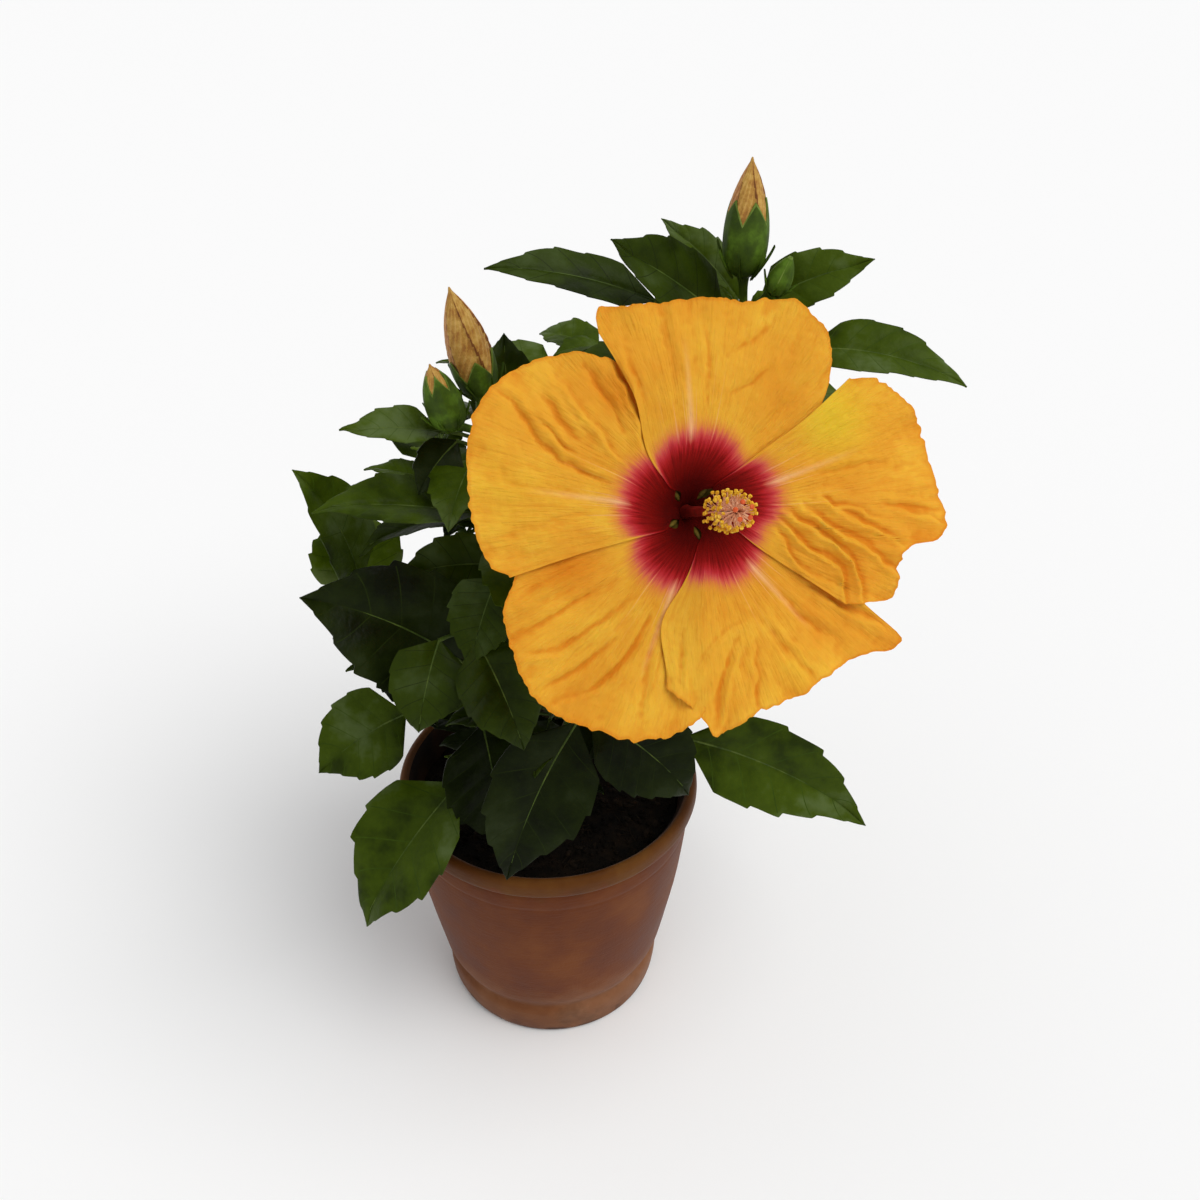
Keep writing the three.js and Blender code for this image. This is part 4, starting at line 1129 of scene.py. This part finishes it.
def crease(places, fold):
    """A ridge along a line, with a furrow on one side, both dying out at its ends."""
    tall, wide, *marks = fold
    wide = 0.8 * wide
    places = places + 0.9 * cloud(places + tall * UP, 5)[..., None] * (1 - UP)
    share = shares(36)
    line = spline([on_petal(angle, reach) for angle, reach in marks])(share)
    gap = places[..., None, :] - line
    nearest = np.argmin(np.sum(gap**2, axis=-1), axis=-1)
    gap = np.take_along_axis(gap, nearest[..., None, None], axis=-2)[..., 0, :]
    aside = np.cross(unit(np.gradient(line, axis=0))[nearest], gap)[..., 2]
    beyond = np.sqrt(np.maximum(np.sum(gap**2, axis=-1) - aside**2, 0))
    fade = np.sin(np.pi * np.clip(0.1 + 0.8 * share[nearest], 0, 1)) ** 0.8 * bump(beyond, 0, wide)
    return tall * fade * (np.exp(-(np.abs(aside / wide) ** 1.4)) - 0.7 * bump(aside / wide, 1.4, 1))


def blurred(values, times):
    for _ in range(times):
        wide = np.pad(values, 1, mode="edge")
        values = (wide[:-2, 1:-1] + wide[2:, 1:-1] + wide[1:-1, :-2] + wide[1:-1, 2:] + values) / 5
    return values


def petal_tint(places, t, petal):
    """How far the gold leans towards lemon (above a half) or burnt orange (below it), the burnt orange partly
    painted shade.
    """
    tint = 0
    for angle, reach, size, strength in petal["tints_and_shade"]:
        far = np.sum((places - on_petal(angle, reach)) ** 2, axis=-1)
        tint = tint + strength * np.exp(-far / size**2)
    return np.clip(0.5 + 0.5 * tint - 0.3 * smooth(t, 0.975, 1), 0, 1)


def petal_relief(places, s, t, radius, number, petal):
    """The waves, folds and rucks of a petal, over its plain curve."""
    wavy = smooth(t, 0.7, 1) ** 1.5
    relief = wavy * (0.8 * np.sin(11 * s + 1.7 * number) + 0.5 * np.sin(25 * s + number + 2 * t))
    for fold in petal["folds"]:
        relief = relief + crease(places, fold)
    flat = stacked(s * petal["half"] * 0.9, radius, 11.0 * number)
    along_veins = flat * (1, 0.22, 1)
    rucks = ((0.36, along_veins, 3.6, 0, 12, 40), (0.2, along_veins, 1.5, 20, 12, 45))
    rucks += ((0.6, flat, 9, 8, 20, 60), (0.2, flat, 1.8, 40, 16, 40))
    for tall, spread, size, seed, start, end in rucks:
        relief = relief + tall * cloud(spread, size, number + seed) * smooth(radius, start, end)
    return relief


def build_petals():
    columns, rows = 127, 95
    s = np.linspace(-1, 1, columns)[None, :]
    t = shares(rows)[:, None]
    claw = BLOOM["claw_radius"]
    for number, (name, petal) in enumerate(PETALS.items()):
        at, half = petal["at"], petal["half"]
        outer = edge_reach(petal["edge"], s) + 0.9 * cloud(stacked(28 * s, 9 * number, 0), 1, 5)
        radius = mix(claw, outer, t)
        # Claws draw in over the throat, so a slit opens there between one petal and the next.
        drawn = 1 - 0.42 * bump(radius, 6.6, 2.4)
        low, high, centre = petal["bulge"]
        bulge = 1 + np.where(s < 0, low, high) * np.abs(s) ** 3 * bump(radius, centre, 12)
        angle = at + s * half * drawn * bulge + BLOOM["twist"] * bump(radius, 0, 12)
        places = on_petal(angle, radius)
        relief = petal_relief(places, s, t, radius, number, petal)
        lift = BLOOM["lift"] * np.where(s < 0, *petal["over"]) * s**2 * smooth(radius, 3, 11)
        height = funnel(radius) + lift * mix(0.45, 1, smooth(radius, 18, 50)) + relief
        height = height + BLOOM["ruffle"] * np.sin(5 * s + at) * smooth(t, 0.5, 1) * (1 - s**2)
        upper, lower = [in_bloom(angle, radius, height + side * BLOOM["thickness"] / 2) for side in (1, -1)]
        # The finish reads hundreds of degrees off the midrib, and distance out, a quarter at the eye's end.
        eye_reach, eye_middle = petal["eye"]
        eye = np.maximum(20, eye_reach - 5 * (np.abs(s - eye_middle) / 0.85) ** 3.2)
        margin = 0.05 * smooth(np.abs(s), 0.95, 1) * smooth(radius, 7, 13)
        across = (s - BLOOM["midrib"]) * half / 100
        # Painted shade: the relief's furrows, below their blurred surroundings, lean the gold towards burnt
        # orange.
        furrow = np.clip(0.5 - 0.9 * (relief - blurred(relief, 16)), 0, 1)
        spots = stacked(across, radius / 4 / eye + margin, furrow, petal_tint(places, t, petal))
        piece = Piece("petal", "creases")
        add_sheet(piece, upper, lower, (0, 1, 0), spots)
        piece.make(f"bloom_{name}", [PETAL_FACE, PETAL_BACK], "petal", [name])


def build_calyx():
    piece = Piece()
    behind, length = CALYX["behind"], CALYX["cup_length"]
    u = np.linspace(-1, 1, 17)[None, :]
    t = shares(30)[:, None]
    radius = mix(0.5, CALYX["reach"] + 1.5, t)
    wide = CALYX["spread"] * 1.3 * (1 - np.clip((t - 0.45) / 0.55, 0, 1) ** 1.8)
    rib = 0.35 * bump(u, 0, 0.12) + 0.2 * bump(np.abs(u), 0.6, 0.1)
    height = funnel(np.maximum(radius, BLOOM["claw_radius"])) - behind + 0.6 * u**2 * t
    for i in range(CALYX["lobes"]):
        upper, lower = [in_bloom(72 * i + u * wide, radius, height - sunk) for sunk in (0, 0.7 + rib)]
        add_sheet(piece, upper, lower, (1, 0, 0))
    onward = shares(24)
    cup = in_bloom(0, 0, mix(-behind - 0.2, -length, onward))
    radii = CALYX["cup_radius"] * (1 - 0.55 * onward**2)
    add_tube(piece, cup, radii, 30, relief=lambda turn, along: 0.25 * np.cos(10 * turn))
    w = shares(14)[:, None]
    v = np.linspace(-1, 1, 5)[None, :]
    down = 10 * w**1.5 + 0.4 * v**2 - length
    narrow = 16 * np.sqrt(1 - w) * (0.3 + w) / (1 + 2 * w)
    for i in range(8):
        outer, inner = [
            in_bloom(45 * i + 12 + v * narrow, mix(3.2, 13.5, w) - 0.15 * v**2, down + up) for up in (0, 0.4)
        ]
        add_sheet(piece, inner, outer, (0, 0, 0))
    along = shares(50)
    stalk = spline([in_bloom(0, 0, 1 - length), in_bloom(0, 0, -2.5 * length), *CALYX["stalk"]])(along)
    joint = 0.5 * bump(along, 0.45, 0.02)
    add_tube(piece, stalk, CALYX["stalk_radius"] + 0.9 * np.exp(-along / 0.05) + joint, 18)
    sides = [petal["at"] for petal in PETALS.values()]
    for first, second in zip(sides, sides[1:] + sides[:1]):
        between = first + ((second - first) % 360) / 2 + 0.75 * BLOOM["twist"]
        out = np.linspace(4.4, 8.8, 10)
        rib = in_bloom(between, out, funnel(out) - 1.5)
        add_tube(piece, rib, 0.85 * np.sin(np.linspace(0.25, np.pi - 0.25, 10)), 10, 1)
    piece.make("bloom_calyx_green", [CALYX_SKIN, CALYX_INSIDE], "calyx", ["bloom_calyx"])


def ball(place, axis, size, lengthen, rows):
    """A rounded grain, longer along its axis: its line of centres and its radii, for a tube."""
    w = np.linspace(-0.88, 0.88, rows)
    return place + w[:, None] * size * lengthen * axis, size * np.sqrt(np.clip(1 - w**2, 0.02, 1))


def add_anther(piece, place, away, cross, draw):
    """Two swollen halves side by side on the end of a thread, as a split anther curls open."""
    size = 0.3 + 0.08 * draw()
    for side in (-1, 1):
        line, radii = ball(place + 0.22 * side * away, unit(cross + 0.4 * side * AXIS), size, 1.7, 7)
        line = line + 0.25 * size * (np.linspace(-1, 1, 7) ** 2)[:, None] * away
        add_tube(piece, line, radii, 10, 2, relief=lambda turn, along: 0.05 * np.sin(5 * turn + 9 * along))


def build_column():
    piece = Piece()
    w = shares(70)
    foot, length = COLUMN["foot"], COLUMN["length"]
    radii = COLUMN["radius"] * (1.05 - 0.5 * w) + 1.1 * bump(w, 0, 0.06)
    ribs = lambda turn, along: 0.08 * np.cos(5 * turn)
    add_tube(piece, in_bloom(0, 0, mix(foot, length, w)), radii, 20, relief=ribs)
    draw = seeded(77)

    def thread(angle, start, bend, end, places, radius, sides):
        """A thread bent through three places, each (distance, height) about the axis."""
        start, bend, end = [in_bloom(angle, out, height) for out, height in (start, bend, end)]
        add_tube(piece, bezier(start, bend, end, shares(places)), radius, sides, 1)
        return start, bend, end

    for i in range(COLUMN["anthers"]):
        along = (i + 0.5) / COLUMN["anthers"]
        height = mix(COLUMN["anther_from"], length - 0.5, along)
        angle = GOLDEN_TURN * i + 14 * draw()
        out = COLUMN["anther_reach"] * (0.78 + 0.27 * draw()) * (1 - 0.12 * along**2)
        tip = (out, height + 1.0 + 1.8 * draw())
        _, bend, end = thread(angle, (0.8, height), (out * 0.55, height + 0.1), tip, 7, 0.15, 6)
        away = unit(end - bend)
        add_anther(piece, end, away, unit(np.cross(away, AXIS) + 0.5 * (draw() - 0.5)), draw)
    for i in range(5):
        angle = 72 * i + 20
        tip = (2.5, length + 5.4)
        start, _, end = thread(angle, (0.3, length - 0.5), (0.7, length + 3.2), tip, 9, 0.26, 8)
        line, radii = ball(end + 0.2 * AXIS, unit(end - start), 0.75, 0.75, 9)
        nap = lambda turn, along: 0.09 * np.sin(8 * turn) * np.sin(7 * along)
        add_tube(piece, line, radii, 16, 3, relief=nap)
    for i in range(26):
        # Short threads without anthers stand round the styles.
        out = 0.8 + 2.6 * draw()
        tip = (out, length + 1.5 + 1.5 * draw())
        thread(GOLDEN_TURN * i, (0.5, length - 2), (0.6, length), tip, 6, 0.16, 6)
    finishes = [COLUMN_SKIN, FILAMENT, POLLEN, STIGMA]
    piece.make("bloom_stamens", finishes, "stamens", ["stamen_column"], crease=80)


# Buds
def plump(t):
    return np.sin(np.pi * np.minimum(0.97, 0.12 + 0.88 * t) ** 0.8) ** 0.8


def add_furl(piece, place, radius, start):
    """Five petals wound into a point: each one's edge makes a low step that spirals up the bud."""
    sides, rows = 100, 70
    turn = around(sides)
    t = np.linspace(start, 1, rows)[:, None]
    winding = turn / (2 * np.pi) * 5 + 0.6 * t + 0.08
    wound = winding % 1
    step = 0.14 * (1 - wound) * smooth(wound, 0, 0.08) - 0.06
    # Fine veins slant out from each petal's lapped edge.
    slant = np.sin(2 * np.pi * (4 * wound - 10 * t + 0.3 * np.sin(9 * t)))
    streak = 0.014 * slant + 0.01 * np.sin(23 * turn + 9 * t)
    full = plump(t) ** 0.82 * BUD["furl"] * np.sqrt(1 - 0.97 * t**8)
    r = np.maximum(0.25, radius * full * (1 + (step + streak) * smooth(1 - t, 0, 0.12)))
    # Two petals of the furl take a shade of their own, so the winding shows.
    blush = np.floor(winding).astype(int) % 5 % 3 == 0
    shade = blush + 2 * ((slant > 0.55) & (wound > 0.12) & (wound < 0.9))
    # Along each lapped edge runs a brown line of painted shade.
    shade = np.where((wound < 0.07) & (t < 0.97), 4, shade)[:-1]
    add_rings(piece, place(turn, r, t), [place(0, 0, start), place(0, 0, 1.005)], shade.ravel())


def add_bud_calyx(piece, place, radius, tops):
    """The cup, whose rim runs up into pointed lobes that hug the bud, each with a raised rib."""
    sides, rows = 91, 28
    turn = np.linspace(0, 2 * np.pi, sides)[None, :]
    lobe = np.abs((turn * BUD["lobes"] / (2 * np.pi) + 0.5) % 1 - 0.5) * 2
    share = shares(rows)[:, None]
    t = mix(0.02, mix(*tops, 1 - (1 - lobe) ** 1.25), share)
    ribs = 0.03 * bump(lobe, 1, 0.16) + 0.02 * bump(lobe, 0, 0.12)
    foot = np.sqrt(1 - 0.85 * (1 - np.minimum(t / 0.16, 1)) ** 2)
    r = np.maximum(0.3, radius * (plump(t) ** 0.9 + ribs * (1 - 0.6 * share) + 0.02) * foot)
    # The lobes' margins are paler, and so is the seam between two of them on a closed bud.
    pale = (share > 0.95) | ((lobe < 0.1) & (share > 0.4) & (tops[0] > 0.9))
    pale = pale[:-1, :-1].ravel().astype(int)
    add_sheet(piece, place(turn, np.maximum(0.1, r - 0.5), t), place(turn, r, t), (pale, pale, 1))


def add_bract(piece, place, turn, radius, length):
    """A thin bract of the outer calyx, bowed out from the bud's foot."""
    w = shares(14)[:, None]
    v = np.linspace(-1, 1, 5)[None, :]
    narrow = 0.11 * (1 - w**2) * 6 / max(4, radius)
    out = radius * (0.5 + 0.62 * np.sin(w * 1.5)) + 1.2 * w**3 + 0.2 * v**2
    up = 0.02 + BUD["bract"] / length * w * radius / 7 - 0.02 * v**2
    add_sheet(piece, *[place(turn + v * narrow, out + thick, up) for thick in (0, 0.35)], (0, 0, 0))


def build_buds():
    for name, (foot, base, tip, radius, tops) in BUDS.items():
        base, onward = np.array(base), np.subtract(tip, base)
        place = about_line(base, onward, square_to(unit(onward)))
        if name != "bud_small":
            furl = Piece()
            add_furl(furl, place, radius, min(0.22, tops[0] - 0.09))
            finishes = [FURL_SKIN, FURL_BLUSH, FURL_VEIN, FURL_BLUSH_VEIN, FURL_LAP_SHADE]
            furl.make(f"{name}_petals", finishes, "bud", [f"{name}_furl"])
        piece = Piece()
        add_bud_calyx(piece, place, radius, tops)
        for i in range(7):
            add_bract(piece, place, (i + 0.5) / 7 * 2 * np.pi, radius, np.linalg.norm(onward))
        stalk = np.linspace(foot, place(0, 0, 0.06), 12)
        add_tube(piece, stalk, BUD["stalk_radius"] * (1 + 1.2 * shares(12) ** 4), 14)
        piece.make(f"{name}_green", [CALYX_SKIN, CALYX_MARGIN], "calyx", [f"{name}_calyx"])


# The stage
def set_stage():
    plaster, _ = new_finish("floor_matt_plaster", "#f6f6f5", Roughness=0.95, Specular_IOR_Level=0.1)
    half = 6.0  # metres
    mesh = bpy.data.meshes.new("floor")
    corners = [(-half, -half, 0), (half, -half, 0), (half, half, 0), (-half, half, 0)]
    mesh.from_pydata(corners, [], [(0, 1, 2, 3)])
    mesh.materials.append(plaster)
    floor = place_in_scene("floor", mesh)

    world = bpy.data.worlds.new("soft_room")
    world.use_nodes = True
    sky = world.node_tree.nodes["Background"]
    sky.inputs["Color"].default_value = colour("#fbfbfd")
    sky.inputs["Strength"].default_value = 0.58
    bpy.context.scene.world = world

    # A broad window above and to the right, which lights the whole floor evenly.
    window = bpy.data.lights.new("window_right", "SUN")
    window.energy = 1.8
    window.angle = math.radians(48)
    lamp = place_in_scene("window_right", window)
    lamp.rotation_euler = Vector((0.5, -0.34, 1.0)).to_track_quat("Z", "Y").to_euler()


def set_camera():
    view = bpy.data.cameras.new("front_view")
    view.lens = CAMERA["lens"]
    camera = place_in_scene("front_view", view)
    camera.location = Vector(CAMERA["place"]) * MM
    camera.rotation_euler = (math.radians(90 - CAMERA["pitch"]), 0, 0)
    bpy.context.scene.camera = camera


set_camera()
set_stage()
build_pot()
build_mix()
build_wood()
build_foliage()
build_petals()
build_calyx()
build_column()
build_buds()
bpy.context.scene.view_settings.view_transform = "Standard"

bpy.context.view_layer.update()
